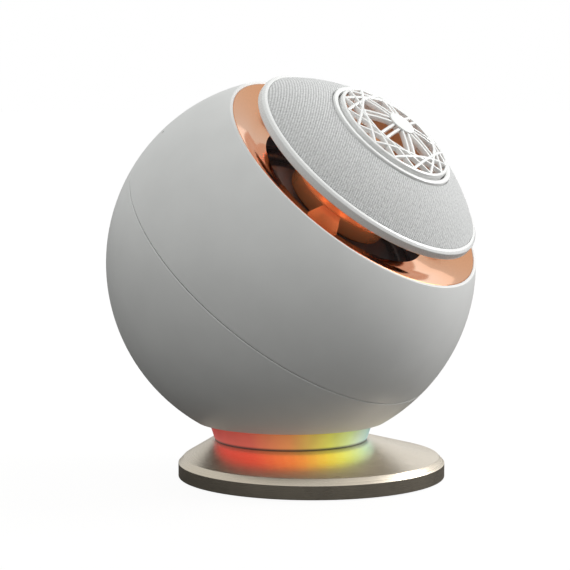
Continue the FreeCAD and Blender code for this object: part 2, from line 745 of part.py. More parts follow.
def build_motor():
    """Build the basket, magnet and plates of the woofer."""
    flange_foot = WOOFER_TOP - dim("woofer_flange_thickness")
    wall = dim("basket_wall")
    foot = dim("basket_foot_bottom")
    foot_top = dim("basket_foot_top")
    ledge_outer = dim("spider_ledge_radius")
    bore = dim("coil_inner_radius") + dim("coil_wall") * 2 + GAP * 2
    blank = turned("basket_blank",
                   (bore + wall, foot),
                   (dim("basket_foot_radius"), foot),
                   (dim("woofer_flange_bore") + wall, flange_foot),
                   (dim("woofer_flange_radius"), flange_foot),
                   (dim("woofer_flange_radius"), WOOFER_TOP),
                   (dim("woofer_flange_bore"), WOOFER_TOP),
                   (dim("woofer_flange_bore"), flange_foot),
                   (ledge_outer + wall, foot_top),
                   (ledge_outer, foot_top),
                   (ledge_outer, dim("spider_height")),
                   (ledge_outer - dim("spider_ledge_width"), dim("spider_height")),
                   (ledge_outer - dim("spider_ledge_width"), foot_top),
                   (bore + wall, foot_top))
    count = DIMENSIONS["window_count"]
    reach = dim("woofer_flange_radius")
    window = block("window_block", reach, dim("window_width"), dim("window_height"),
                   ledge_outer + wall * 2 + reach / 2, 0, dim("spider_height") + wall)
    windows = copy_around("window", window, count, 30.0)
    places = around(FOUR_SCREWS, WOOFER_SCREW_CIRCLE, 0.0)
    keep(cut("woofer_basket", blank, *windows,
             *holes("basket_hole", places, flange_foot, dim("woofer_flange_thickness"))), "head")
    top_foot = foot - dim("top_plate_thickness")
    magnet_foot = top_foot - dim("magnet_thickness")
    back_foot = magnet_foot - dim("back_plate_thickness")
    keep(ring("woofer_top_plate", dim("basket_foot_radius"), bore, dim("top_plate_thickness"), top_foot), "head")
    keep(ring("woofer_magnet", dim("magnet_radius"), dim("magnet_bore_radius"), dim("magnet_thickness"),
              magnet_foot), "head")
    keep(turned("woofer_back_plate",
                (0, back_foot),
                (dim("magnet_radius") + wall / 2, back_foot),
                (dim("magnet_radius") + wall / 2, magnet_foot),
                (dim("pole_radius"), magnet_foot),
                (dim("pole_radius"), foot),
                (0, foot)), "head")
    keep(ring("woofer_spider", ledge_outer - GAP, dim("coil_inner_radius") + dim("coil_wall") + dim("move_gap"),
              dim("spider_thickness"), dim("spider_height")), "head")


def build_diaphragm():
    """Build the moving cone, its coil former and dust cap, and the roll that centres them."""
    former_outer = dim("coil_inner_radius") + dim("coil_wall")
    throat = dim("cone_throat_height")
    mouth = dim("cone_mouth_height")
    mouth_radius = dim("cone_mouth_radius")
    rim_radius = mouth_radius + dim("cone_rim_width")
    wall = dim("cone_wall")
    keep(ring("coil_former", former_outer, dim("coil_inner_radius"), dim("coil_top") - dim("coil_bottom"),
              dim("coil_bottom")), "head")
    keep(turned("woofer_cone",
                (former_outer, throat),
                (mouth_radius, mouth - wall),
                (rim_radius, mouth - wall),
                (rim_radius, mouth),
                (mouth_radius - wall, mouth),
                (former_outer, throat + wall * 1.3)), "head")
    slope = (mouth - throat) / (mouth_radius - former_outer)
    cap_radius = dim("dust_cap_radius")
    cap_foot = throat + wall * 1.3 + slope * (cap_radius - former_outer) + GAP
    cap_inner = cap_radius - wall * 1.5
    keep(turned("dust_cap",
                (cap_radius, cap_foot, ARC),
                (0, cap_foot + dim("dust_cap_rise")),
                (0, cap_foot + dim("dust_cap_rise") - wall),
                (cap_inner, cap_foot)), "head")
    thick = dim("surround_thickness")
    low = mouth + dim("move_gap")
    roll = WOOFER_TOP + dim("surround_rise") - thick
    bore = dim("woofer_flange_bore")
    edge = dim("baffle_bore_radius") - dim("move_gap")
    middle = (rim_radius + bore) / 2
    shoulder = (bore - rim_radius) * 0.3
    keep(turned("woofer_surround",
                (mouth_radius, low),
                (rim_radius, low),
                (middle - shoulder, roll),
                (middle + shoulder, roll),
                (bore, WOOFER_TOP),
                (edge, WOOFER_TOP),
                (edge, WOOFER_TOP + thick),
                (bore + thick, WOOFER_TOP + thick),
                (middle + shoulder + thick / 2, roll + thick),
                (middle - shoulder - thick / 2, roll + thick),
                (rim_radius - thick / 2, low + thick),
                (mouth_radius, low + thick)), "head")


# ---------------------------------------------------------------- sound dish, plug and column

DISH_INNER = dim("dish_inner_radius")
DISH_HEIGHT = dim("dish_inner_height")
HUB_FOOT = DISH_HEIGHT - dim("hub_thickness")
COLUMN_SCREW_CIRCLE = dim("hub_radius") - dim("hub_bore_radius") - GAP * 20
HEAD_FLOOR = OPENING + dim("slot_height")


def build_dish():
    """Build the flared dish with its throat, the hub on three webs, the phase plug and the column."""
    wall = dim("dish_wall")
    slope = (OPENING - DISH_HEIGHT) / (DISH_OUTER - DISH_INNER)
    under = wall * 1.1
    elbow = DISH_INNER + wall * 1.7
    skirt_inner = DISH_OUTER - wall
    flare_blank = turned("dish_flare",
                   (DISH_OUTER, OPENING),
                   (DISH_INNER, DISH_HEIGHT),
                   (dim("throat_foot_radius"), BAFFLE_TOP),
                   (dim("throat_foot_radius") + wall * 1.1, BAFFLE_TOP),
                   (elbow, DISH_HEIGHT + slope * (elbow - DISH_INNER) - under),
                   (skirt_inner, OPENING - slope * wall - under),
                   (skirt_inner, LEDGE_TOP),
                   (DISH_OUTER, LEDGE_TOP))
    flare = DOC.addObject("Part::Compound", "sound_dish")
    flare.Links = [flare_blank]
    keep(flare, "head")
    screw_places = around(THREE_SCREWS, COLUMN_SCREW_CIRCLE, 30.0)
    hub = rod("hub_disc", dim("hub_radius"), dim("hub_thickness"), 0, 0, HUB_FOOT)
    sector = set_sizes(DOC.addObject("Part::Cylinder", "web_sector"), Radius=DISH_INNER + wall * 1.2,
                       Height=dim("hub_thickness"), Angle="2 * Dims.web_half_angle * 1 deg")
    move(sector, 0, 0, HUB_FOOT)
    half = DIMENSIONS["web_half_angle"]
    back = DIMENSIONS["back_web_angle"]
    spread = DIMENSIONS["web_spread"]
    webs = []
    for angle in (back - spread, back, back + spread):
        webs += copy_around(f"web_{angle:.0f}", sector, 1, angle - half)
    flare_copy = DOC.addObject("Part::Compound", "flare_tool")
    flare_copy.Links = [flare_blank]
    keep(cut("throat_bridge", fuse("bridge_blank", hub, *webs), flare_copy,
             rod("hub_bore", dim("hub_bore_radius"), dim("hub_thickness"), 0, 0, HUB_FOOT),
             *holes("hub_hole", screw_places, HUB_FOOT, dim("hub_thickness"))), "head")
    side_foot = HUB_FOOT - dim("plug_side")
    nose_foot = side_foot - dim("plug_nose")
    inset = dim("plug_wall")
    keep(turned("phase_plug",
                (dim("hub_radius"), HUB_FOOT),
                (dim("hub_radius"), side_foot),
                (dim("plug_nose_radius"), nose_foot),
                (0, nose_foot),
                (0, nose_foot + inset),
                (dim("plug_nose_radius") - inset / 2, nose_foot + inset),
                (dim("hub_radius") - inset, side_foot + inset / 2),
                (dim("hub_radius") - inset, HUB_FOOT)), "head")
    keep(screws("column_screws", screw_places, HUB_FOOT, dim("hub_thickness") + SCREW_BITE - GAP, False), "head")
    flange_foot = HEAD_FLOOR - dim("column_flange_thickness")
    blank = turned("column_blank",
                   (dim("column_bore_radius"), DISH_HEIGHT),
                   (dim("hub_radius"), DISH_HEIGHT),
                   (dim("column_waist_radius"), DISH_HEIGHT + dim("column_flare")),
                   (dim("column_waist_radius"), flange_foot - dim("column_flare")),
                   (dim("column_flange_radius"), flange_foot),
                   (dim("column_flange_radius"), HEAD_FLOOR),
                   (dim("column_bore_radius"), HEAD_FLOOR))
    keep(cut("head_column", blank, *holes("column_hole", screw_places, DISH_HEIGHT, SCREW_BITE),
             *holes("column_top_hole", around(THREE_SCREWS, HEAD_SCREW_CIRCLE, 90.0),
                    HEAD_FLOOR - HEAD_SCREW_BITE, HEAD_SCREW_BITE)), "head")


# ---------------------------------------------------------------- head

HEAD_SCREW_CIRCLE = dim("column_flange_radius") - dim("screw_head_radius") - GAP * 10
HEAD_SCREW_BITE = 1.8
TRAY_TOP = HEAD_FLOOR + dim("tray_thickness")
FABRIC_EDGE = HEAD_FLOOR + dim("fabric_edge_height")
CROWN_CENTRE = FABRIC_EDGE - across(dim("crown_radius"), dim("fabric_edge_radius"))
COLLAR_INNER = dim("collar_radius") - dim("collar_width")
PUCK_FOOT = TRAY_TOP + dim("puck_foot_rise")
PUCK_CENTRE = TRAY_TOP + dim("puck_height") - dim("puck_crown_radius")


def crown(depth, radius):
    """Return the height at a radius of the head's crown, a depth under its surface."""
    return CROWN_CENTRE + across(dim("crown_radius") - depth, radius)


def dome(label, edge, hole, top, thickness, foot):
    """Build a shell under the crown from a hole's edge to a rim that stands on a foot height."""
    inner = edge - thickness
    return turned(label,
                  (hole, crown(top, hole), ARC),
                  (edge, crown(top, edge)),
                  (edge, foot),
                  (inner, foot),
                  (inner, crown(top + thickness, inner), ARC),
                  (hole, crown(top + thickness, hole)))


def build_head():
    """Build the floating head: tray, rim, carrier dome, fabric, collar and screws."""
    places = around(THREE_SCREWS, HEAD_SCREW_CIRCLE, 90.0)
    tray = rod("tray_disc", dim("tray_radius"), dim("tray_thickness"), 0, 0, HEAD_FLOOR)
    keep(cut("head_tray", tray, *holes("tray_hole", places, HEAD_FLOOR, dim("tray_thickness"))), "head")
    keep(screws("head_screws", places, TRAY_TOP, dim("tray_thickness") + HEAD_SCREW_BITE - GAP, True), "head")
    side_top = HEAD_FLOOR + dim("head_side")
    edge = dim("fabric_edge_radius")
    keep(turned("head_rim",
                (dim("head_radius"), HEAD_FLOOR),
                (dim("head_radius"), side_top),
                (dim("head_radius") - dim("head_bevel") * 0.8, FABRIC_EDGE - GAP * 4),
                (edge + GAP, FABRIC_EDGE),
                (edge + GAP, TRAY_TOP + GAP),
                (dim("tray_radius") + GAP, TRAY_TOP + GAP),
                (dim("tray_radius") + GAP, HEAD_FLOOR)), "head")
    hole = dim("collar_radius") + GAP
    cloth = dim("fabric_thickness")
    keep(dome("fabric_skin", edge, hole, Size(0), cloth, TRAY_TOP), "head")
    keep(dome("carrier_dome", edge - cloth - GAP, hole, cloth + GAP, dim("carrier_thickness"), TRAY_TOP), "head")
    top = crown(Size(0), dim("collar_radius")) + dim("collar_proud")
    bevel = dim("collar_width") / 4
    keep(turned("collar_ring",
                (COLLAR_INNER, TRAY_TOP),
                (dim("collar_radius"), TRAY_TOP),
                (dim("collar_radius"), top - bevel),
                (dim("collar_radius") - bevel, top),
                (COLLAR_INNER + bevel, top + bevel / 2),
                (COLLAR_INNER, top - bevel)), "head")


def build_tweeter():
    """Build the tweeter: flared guide, dome and magnet."""
    top = PUCK_FOOT
    wall = dim("tweeter_wall")
    throat = dim("tweeter_throat_radius")
    throat_top = top - dim("tweeter_throat_drop")
    mouth = dim("puck_radius") - dim("puck_rim_width") - GAP
    outer = dim("puck_radius")
    keep(turned("tweeter_guide",
                (outer, TRAY_TOP),
                (outer, top),
                (mouth, top),
                (throat, throat_top),
                (throat, throat_top - wall),
                (outer - wall, top - wall * 1.4),
                (outer - wall, TRAY_TOP)), "head")
    magnet_top = throat_top - wall - GAP
    keep(ring("tweeter_magnet", dim("tweeter_magnet_radius"), dim("tweeter_vent_radius"), magnet_top - TRAY_TOP,
              TRAY_TOP), "head")
    dome_radius = throat - GAP * 2
    rise = dim("tweeter_dome_rise")
    keep(turned("tweeter_dome",
                (0, magnet_top),
                (dome_radius, magnet_top),
                (dome_radius, throat_top - GAP * 4, ARC),
                (0, throat_top + rise - GAP * 4)), "head")


def build_grille():
    """Build the domed lattice of four turned squares with paired spokes, and its centre cap."""
    outer = dim("puck_crown_radius")
    radius = dim("puck_radius")
    shell = common("lattice_shell",
                   cut("lattice_layer", ball("lattice_outer", outer, PUCK_CENTRE),
                       ball("lattice_inner", outer - dim("lattice_thickness"), PUCK_CENTRE)),
                   rod("lattice_limit", radius, outer, 0, 0, PUCK_CENTRE))
    bar = dim("bar_width")
    chord = dim("star_radius") * round(math.sqrt(2), 6)
    star_inner = dim("star_radius") / round(math.sqrt(2), 6)
    points = DIMENSIONS["star_points"]
    star_bar = block("star_bar", bar, chord + bar, outer, star_inner, 0, PUCK_CENTRE)
    bars = copy_around("star_bar", star_bar, points, DIMENSIONS["star_first_angle"])
    spoke_length = star_inner + bar / 2
    spokes = [block(f"spoke_{side}", spoke_length, bar * 0.95, outer, spoke_length / 2,
                    dim("spoke_spacing") * side / 2, PUCK_CENTRE) for side in (-1, 1)]
    pair = fuse("spoke_pair", *spokes)
    pairs = copy_around("spoke_pair", pair, DIMENSIONS["spoke_pairs"], DIMENSIONS["star_first_angle"])
    hub = rod("lattice_hub", dim("lattice_hub_radius"), outer, 0, 0, PUCK_CENTRE)
    rim_inner = radius - dim("puck_rim_width")
    rim = ring("lattice_rim", radius, rim_inner, outer, PUCK_CENTRE)
    lattice = common("lattice_bars", shell, fuse("lattice_pattern", *bars, *pairs, hub, rim))
    skirt_top = PUCK_CENTRE + across(outer, radius) - dim("lattice_thickness") / 2
    skirt = ring("lattice_skirt", radius, rim_inner, skirt_top - PUCK_FOOT, PUCK_FOOT)
    keep(fuse("lattice_grille", lattice, skirt), "head")
    cap_radius = dim("cap_radius")
    low = outer + GAP / 2
    high = low + dim("cap_thickness")
    keep(turned("centre_cap",
                (cap_radius, PUCK_CENTRE + across(low, cap_radius)),
                (cap_radius, PUCK_CENTRE + across(high, cap_radius) - GAP * 3, ARC),
                (0, PUCK_CENTRE + high),
                (0, PUCK_CENTRE + low, ARC)), "head")


# ---------------------------------------------------------------- electronics in the ball

def build_electronics():
    """Build the main board on its spacers, with chips, a finned heat sink and connectors."""
    board_foot = -dim("main_board_drop")
    floor_inner = -FLOOR_DROP + dim("shell_wall")
    places = around(FOUR_SCREWS, dim("post_circle_radius"), 45.0)
    thick = dim("board_thickness")
    board_top = board_foot + thick
    board = rod("main_board_disc", dim("main_board_radius"), thick, 0, 0, board_foot)
    keep(cut("main_board", board, *holes("main_board_hole", places, board_foot, thick)), "ball")
    spacers = [rod(f"spacer_{index}", dim("spacer_radius"), board_foot - floor_inner, x, y, floor_inner)
               for index, (x, y) in enumerate(places)]
    keep(cut("board_spacers", fuse("spacer_set", *spacers),
             *holes("spacer_hole", places, board_foot - SCREW_BITE, SCREW_BITE)), "ball")
    keep(screws("board_screws", places, board_top, thick + SCREW_BITE - GAP, True), "ball")
    chip = dim("chip_width")
    chip_height = dim("chip_height")
    chips = [block("chip_processor", chip, chip, chip_height, 0, 0, board_top),
             block("chip_memory", chip * 0.7, chip * 0.9, chip_height, chip * 1.3, 0, board_top),
             block("chip_radio", chip * 0.8, chip, chip_height * 1.4, -chip * 1.3, -chip, board_top),
             block("chip_amplifier", chip * 0.7, chip * 0.7, chip_height, -chip * 1.2, chip, board_top)]
    keep(fuse("board_chips", *chips), "ball")
    width = dim("sink_width")
    sink_foot = board_top + chip_height
    count = DIMENSIONS["sink_fins"]
    base = block("sink_plate", width, width, dim("sink_base"), 0, 0, sink_foot)
    fins = [block(f"sink_fin_{index}", width / (count * 2), width, dim("sink_height"),
                  width * ((index + 0.5) / count - 0.5), 0, sink_foot) for index in range(count)]
    sink = fuse("sink_fins_joined", base, *fins)
    memory_relief = block("sink_relief", chip, width * 1.2, dim("sink_base"), 0, 0, sink_foot - dim("sink_base"))
    keep(cut("heat_sink", sink, memory_relief), "ball")
    keep(fuse("board_connectors",
              block("connector_power", chip * 0.8, chip * 0.4, chip * 0.4, 0, chip * 1.6, board_top),
              block("connector_woofer", chip * 0.6, chip * 0.4, chip * 0.4, chip * 1.5, chip * 1.3, board_top),
              block("connector_lights", chip * 0.5, chip * 0.4, chip * 0.4, chip * 1.5, -chip * 1.3, board_top)),
         "ball")


# ---------------------------------------------------------------- checks and files

def check_document():
    """Stop if any object failed or any sub-part is empty or invalid."""
    DOC.recompute()
    for item in DOC.Objects:
        if {"Invalid", "Error"} & set(item.State):
            raise RuntimeError(f"{item.Label} failed: {item.State}")
    for item in SUB_PARTS:
        if item.Shape.isNull() or not item.Shape.isValid() or not item.Shape.Solids:
            raise RuntimeError(f"{item.Label} has no valid solid")


def write_files():
    """Write each sub-part to parts/NODE.step."""
    os.makedirs("parts", exist_ok=True)
    for item in SUB_PARTS:
        item.Shape.exportStep(os.path.join("parts", item.Label + ".step"))
        print(f"{item.Label}: {len(item.Shape.Solids)} solid(s), {item.Shape.Volume:.1f} mm3")


build_foot()
build_neck()
build_rear_shell()
build_front_shell()
build_controls()
build_baffle()
build_motor()
build_diaphragm()
build_dish()
build_head()
build_tweeter()
build_grille()
build_electronics()
check_document()
write_files()
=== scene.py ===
import json
import logging
import math
from dataclasses import dataclass
from enum import Enum
from typing import Callable, Optional, Sequence

import bmesh
import bpy
from mathutils import Matrix, Vector


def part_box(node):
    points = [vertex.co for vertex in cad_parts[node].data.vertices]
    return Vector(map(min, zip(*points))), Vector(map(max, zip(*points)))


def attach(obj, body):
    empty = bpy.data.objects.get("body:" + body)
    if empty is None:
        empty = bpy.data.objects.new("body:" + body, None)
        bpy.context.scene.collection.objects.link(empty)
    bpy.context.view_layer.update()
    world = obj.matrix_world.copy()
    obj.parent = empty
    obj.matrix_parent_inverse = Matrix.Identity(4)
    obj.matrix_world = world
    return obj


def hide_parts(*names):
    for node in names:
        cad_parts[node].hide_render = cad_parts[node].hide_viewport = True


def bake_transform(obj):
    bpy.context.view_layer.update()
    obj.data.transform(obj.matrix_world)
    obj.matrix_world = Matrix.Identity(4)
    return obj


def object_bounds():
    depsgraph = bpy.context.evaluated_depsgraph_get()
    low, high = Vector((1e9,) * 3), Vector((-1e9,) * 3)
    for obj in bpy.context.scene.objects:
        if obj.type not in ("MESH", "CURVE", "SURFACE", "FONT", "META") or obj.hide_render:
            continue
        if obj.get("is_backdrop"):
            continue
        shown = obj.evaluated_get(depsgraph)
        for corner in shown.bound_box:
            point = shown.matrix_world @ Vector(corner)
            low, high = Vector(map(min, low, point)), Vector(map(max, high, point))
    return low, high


# A ball speaker on a lit neck and a round foot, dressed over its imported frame. Lengths are in
# millimetres, and every mesh is written in metres. Heights along the head's axis are measured
# from the ball's centre, and heights of the foot and the neck from the floor.

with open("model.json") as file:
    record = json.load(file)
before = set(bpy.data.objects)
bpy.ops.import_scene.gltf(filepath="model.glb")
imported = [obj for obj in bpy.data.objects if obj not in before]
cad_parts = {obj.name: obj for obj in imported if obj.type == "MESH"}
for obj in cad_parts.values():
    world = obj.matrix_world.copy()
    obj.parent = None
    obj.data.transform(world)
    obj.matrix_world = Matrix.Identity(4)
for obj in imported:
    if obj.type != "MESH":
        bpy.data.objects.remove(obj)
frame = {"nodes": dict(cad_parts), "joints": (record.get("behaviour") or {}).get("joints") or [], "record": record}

MM = 0.001
SHARP = 32.0
LOG = logging.getLogger("speaker")
Outline = Sequence[tuple[float, ...]]
Point = tuple[float, float]
Colour = tuple[float, float, float]
Mesh = bmesh.types.BMesh
Piece = bpy.types.Object
Socket = bpy.types.NodeSocket


# ---------------------------------------------------------------- places

@dataclass(frozen=True)
class Place:
    """A set of axes on the speaker that meshes are built in.

    Attributes:
        origin: The meeting point of the axes, in metres.
        right: The first axis, to the speaker's side.
        back: The second axis.
        out: The axis that shapes are turned about.
    """

    origin: Vector
    right: Vector
    back: Vector
    out: Vector

    def at(self, u: float, v: float, h: float) -> Vector:
        """Return the point u, v, h millimetres along the three axes, in metres."""
        return self.origin + (self.right * u + self.back * v + self.out * h) * MM

    def shifted(self, u: float, v: float) -> "Place":
        """Return the same axes with their meeting point moved."""
        return Place(self.at(u, v, 0), self.right, self.back, self.out)

    def matrix(self) -> Matrix:
        """Return the matrix that takes millimetres in these axes to metres in the frame."""
        turned_axes = Matrix((self.right, self.back, self.out)).transposed().to_4x4()
        return Matrix.Translation(self.origin) @ turned_axes @ Matrix.Scale(MM, 4)


def leaning_place(origin: Vector, out: Vector) -> Place:
    """Return axes that lean about the speaker's side axis, with a given origin and out axis."""
    right = Vector((1, 0, 0))
    out = out.normalized()
    return Place(origin, right, out.cross(right), out)


def joint_axis(name: str) -> Vector:
    """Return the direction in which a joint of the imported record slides."""
    for joint in frame["joints"]:
        if joint["name"] == name:
            return Vector(joint["axis"]).normalized()
    raise KeyError(name)


def middle(node: str) -> Vector:
    """Return the middle of a node's box."""
    low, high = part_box(node)
    return (low + high) / 2


FLOOR = leaning_place(Vector((0, 0, 0)), Vector((0, 0, 1)))
HEAD_AXIS = joint_axis("woofer_travel")
FORMER_MIDDLE = 2.5
HEAD = leaning_place(middle("coil_former") - HEAD_AXIS * (FORMER_MIDDLE * MM), HEAD_AXIS)
KEYS = leaning_place(HEAD.origin, -joint_axis("mute_press"))


class Body(Enum):
    """The bodies that pieces ride on."""

    SPEAKER = "speaker"
    DIAPHRAGM = "diaphragm"
    VOLUME_DOWN = "volume_down_key"
    MUTE = "mute_key"
    VOLUME_UP = "volume_up_key"


# ---------------------------------------------------------------- mesh making

def polar(radius: float, angle: float) -> Point:
    """Return the two coordinates of a point at a radius and an angle."""
    return radius * math.cos(angle), radius * math.sin(angle)


def even(first: Sequence[float], last: Sequence[float], steps: int) -> list[tuple[float, ...]]:
    """Return points spaced evenly from first to last, both of them included."""
    return [tuple(a + (b - a) * step / steps for a, b in zip(first, last)) for step in range(steps + 1)]


def soften(outline: Outline, steps: int = 5) -> list[Point]:
    """Round the corners of a closed outline.

    Args:
        outline: Corners as (radius, height) or (radius, height, rounding).
        steps: The number of short edges that make each round.

    Returns:
        The corners and the points of the rounds, as (radius, height).
    """
    made = []
    count = len(outline)
    for index, corner in enumerate(outline):
        point = Vector(corner[:2])
        rounding = corner[2] if len(corner) > 2 else 0.0
        if rounding <= 0:
            made.append((point.x, point.y))
            continue
        before = Vector(outline[index - 1][:2]) - point
        after = Vector(outline[(index + 1) % count][:2]) - point
        half = before.angle(after) / 2
        reach = min(rounding / math.tan(half), before.length * 0.48, after.length * 0.48)
        radius = reach * math.tan(half)
        first, last = before.normalized(), after.normalized()
        centre = point + (first + last).normalized() * (radius / math.sin(half))
        start = point + first * reach - centre
        sweep = start.angle_signed(point + last * reach - centre)
        for step in range(steps + 1):
            turn = -sweep * step / steps
            made.append((centre.x + start.x * math.cos(turn) - start.y * math.sin(turn),
                         centre.y + start.x * math.sin(turn) + start.y * math.cos(turn)))
    return made


def sphere_arc(radius: float, first: float, last: float, steps: int = 40) -> list[Point]:
    """Return points of a sphere's outline as (radius, height), between two heights from its centre."""
    low, high = (math.asin(max(-1.0, min(1.0, height / radius))) for height in (first, last))
    points = [polar(radius, angle) for (angle,) in even((low,), (high,), steps)]
    return [(0.0 if across < 1e-4 else across, height) for across, height in points]


def link(name: str, data: bpy.types.ID) -> Piece:
    """Put a new object with some data in the scene."""
    made = bpy.data.objects.new(name, data)
    bpy.context.scene.collection.objects.link(made)
    return made


def written(name: str, mesh: Mesh) -> Piece:
    """Turn a mesh into an object, and free the mesh."""
    data = bpy.data.meshes.new(name)
    mesh.to_mesh(data)
    mesh.free()
    return link(name, data)


def smooth(piece: Piece, sharp: float = SHARP) -> None:
    """Smooth a piece's faces up to a sharp angle in degrees."""
    piece.data.polygons.foreach_set("use_smooth", [True] * len(piece.data.polygons))
    piece.data.set_sharp_from_angle(angle=math.radians(sharp))


def mesh_piece(name: str, mesh: Mesh, place: Place, sharp: float = SHARP) -> Piece:
    """Turn a mesh built in a place's millimetres into an object at the origin.

    Args:
        name: The piece's name.
        mesh: The mesh, which is freed.
        place: The axes that it was built in.
        sharp: The angle in degrees past which an edge is sharp.

    Returns:
        The object, linked to the scene.
    """
    bmesh.ops.remove_doubles(mesh, verts=mesh.verts, dist=1e-5)
    bmesh.ops.recalc_face_normals(mesh, faces=mesh.faces)
    mesh.transform(place.matrix())
    piece = written(name, mesh)
    smooth(piece, sharp)
    return piece


def ring_mesh(rings: Sequence[tuple[float, float, float]], steps: int) -> Mesh:
    """Make a closed skin through level rings, each (radius, shift along back, height)."""
    mesh = bmesh.new()
    rows = []
    for radius, shift, height in rings:
        spokes = [polar(radius, math.tau * step / steps) for step in range(1 if radius < 1e-6 else steps)]
        rows.append([mesh.verts.new((across, shift + along, height)) for across, along in spokes])
    for index, row in enumerate(rows):
        after = rows[(index + 1) % len(rows)]
        if len(row) == 1 and len(after) == 1:
            continue
        for step in range(steps):
            following = (step + 1) % steps
            corners = [row[step % len(row)], row[following % len(row)],
                       after[following % len(after)], after[step % len(after)]]
            distinct = list(dict.fromkeys(corners))
            if len(distinct) > 2:
                mesh.faces.new(distinct)
    return mesh


def turned(name: str, outline: Outline, place: Place = HEAD, steps: int = 192) -> Piece:
    """Turn a closed outline about a place's out axis.

    Args:
        name: The piece's name.
        outline: Corners as (radius, height) or (radius, height, rounding).
        place: The axes to turn in.
        steps: The number of edges round the axis.

    Returns:
        The turned piece.
    """
    rings = [(radius, 0.0, height) for radius, height in soften(outline)]
    return mesh_piece(name, ring_mesh(rings, steps), place)


def block_mesh(size: Sequence[float], centre: Sequence[float], bevel: float = 0.0) -> Mesh:
    """Make a block with rounded edges from its three sizes and its centre."""
    mesh = bmesh.new()
    bmesh.ops.create_cube(mesh, size=1.0)
    bmesh.ops.scale(mesh, vec=size, verts=mesh.verts)
    bmesh.ops.translate(mesh, vec=centre, verts=mesh.verts)
    if bevel > 0:
        bmesh.ops.bevel(mesh, geom=mesh.edges[:], offset=bevel, segments=3, profile=0.5, affect="EDGES")
    return mesh


def joined(name: str, pieces: Sequence[Piece]) -> Piece:
    """Join meshes into one piece and remove the originals."""
    mesh = bmesh.new()
    for piece in pieces:
        mesh.from_mesh(piece.data)
        bpy.data.objects.remove(piece)
    return written(name, mesh)


def plain_mesh(piece: Piece) -> None:
    """Put a piece's evaluated shape in its mesh and remove its modifiers."""
    bpy.context.view_layer.update()
    graph = bpy.context.evaluated_depsgraph_get()
    data = bpy.data.meshes.new_from_object(piece.evaluated_get(graph))
    data.name = piece.name
    piece.modifiers.clear()
    piece.data = data


def cut_away(piece: Piece, tools: Sequence[Piece]) -> None:
    """Cut tools out of a piece and remove the tools."""
    for tool in tools:
        cut = piece.modifiers.new("cut", "BOOLEAN")
        cut.operation = "DIFFERENCE"
        cut.solver = "EXACT"
        cut.object = tool
    plain_mesh(piece)
    for tool in tools:
        bpy.data.objects.remove(tool)
    smooth(piece)


def hold_normals(piece: Piece, spoke: Callable[[Vector], Vector], radius: float) -> None:
    """Give the round face of a cut piece its true normals.

    Args:
        piece: The piece.
        spoke: Takes a point, and returns it as seen from the centre or the axis of the face.
        radius: The radius of the face.
    """
    data = piece.data
    normals = [Vector(corner.vector) for corner in data.corner_normals]
    for face in data.polygons:
        for index in face.loop_indices:
            out = spoke(data.vertices[data.loops[index].vertex_index].co)
            on_face = abs(out.length - radius * MM) < 0.02 * MM
            if on_face and out.normalized().dot(face.normal) > 0.985:
                normals[index] = out.normalized()
    data.normals_split_custom_set([tuple(normal) for normal in normals])


# ---------------------------------------------------------------- node trees

class Nodes:
    """A node tree under construction."""

    def __init__(self, tree: bpy.types.NodeTree) -> None:
        """Start on a tree.

        Args:
            tree: The tree that nodes are added to.
        """
        self.tree = tree

    def feed(self, node: bpy.types.Node, values: dict) -> None:
        """Set or link a node's inputs, by their names or numbers."""
        for key, value in values.items():
            if isinstance(value, Socket):
                self.tree.links.new(value, node.inputs[key])
            else:
                node.inputs[key].default_value = value

    def node(self, kind: str, values: Optional[dict] = None, **options: object) -> bpy.types.Node:
        """Add a node.

        Args:
            kind: The node's type.
            values: Input values or sockets to link, by the input's name or number.
            **options: The node's own settings.

        Returns:
            The node.
        """
        made = self.tree.nodes.new(kind)
        for key, value in options.items():
            setattr(made, key, value)
        self.feed(made, values or {})
        return made

    def out(self, kind: str, values: Optional[dict] = None, **options: object) -> Socket:
        """Add a node and return its first output."""
        return self.node(kind, values, **options).outputs[0]

    def math(self, operation: str, *values: object) -> Socket:
        """Add a sum and return its result."""
        return self.out("ShaderNodeMath", dict(enumerate(values)), operation=operation)

    def vector(self, operation: str, *values: object) -> Socket:
        """Add a sum of vectors and return its result."""
        made = self.node("ShaderNodeVectorMath", dict(enumerate(values)), operation=operation)
        return made.outputs["Value" if operation in ("LENGTH", "DOT_PRODUCT") else "Vector"]

    def spread(self, source: Socket, low: float, high: float,
               first: float = 0.3, last: float = 0.7) -> Socket:
        """Stretch the part of a pattern between first and last onto low to high."""
        return self.out("ShaderNodeMapRange", {"Value": source, "From Min": first, "From Max": last,
                                               "To Min": low, "To Max": high})


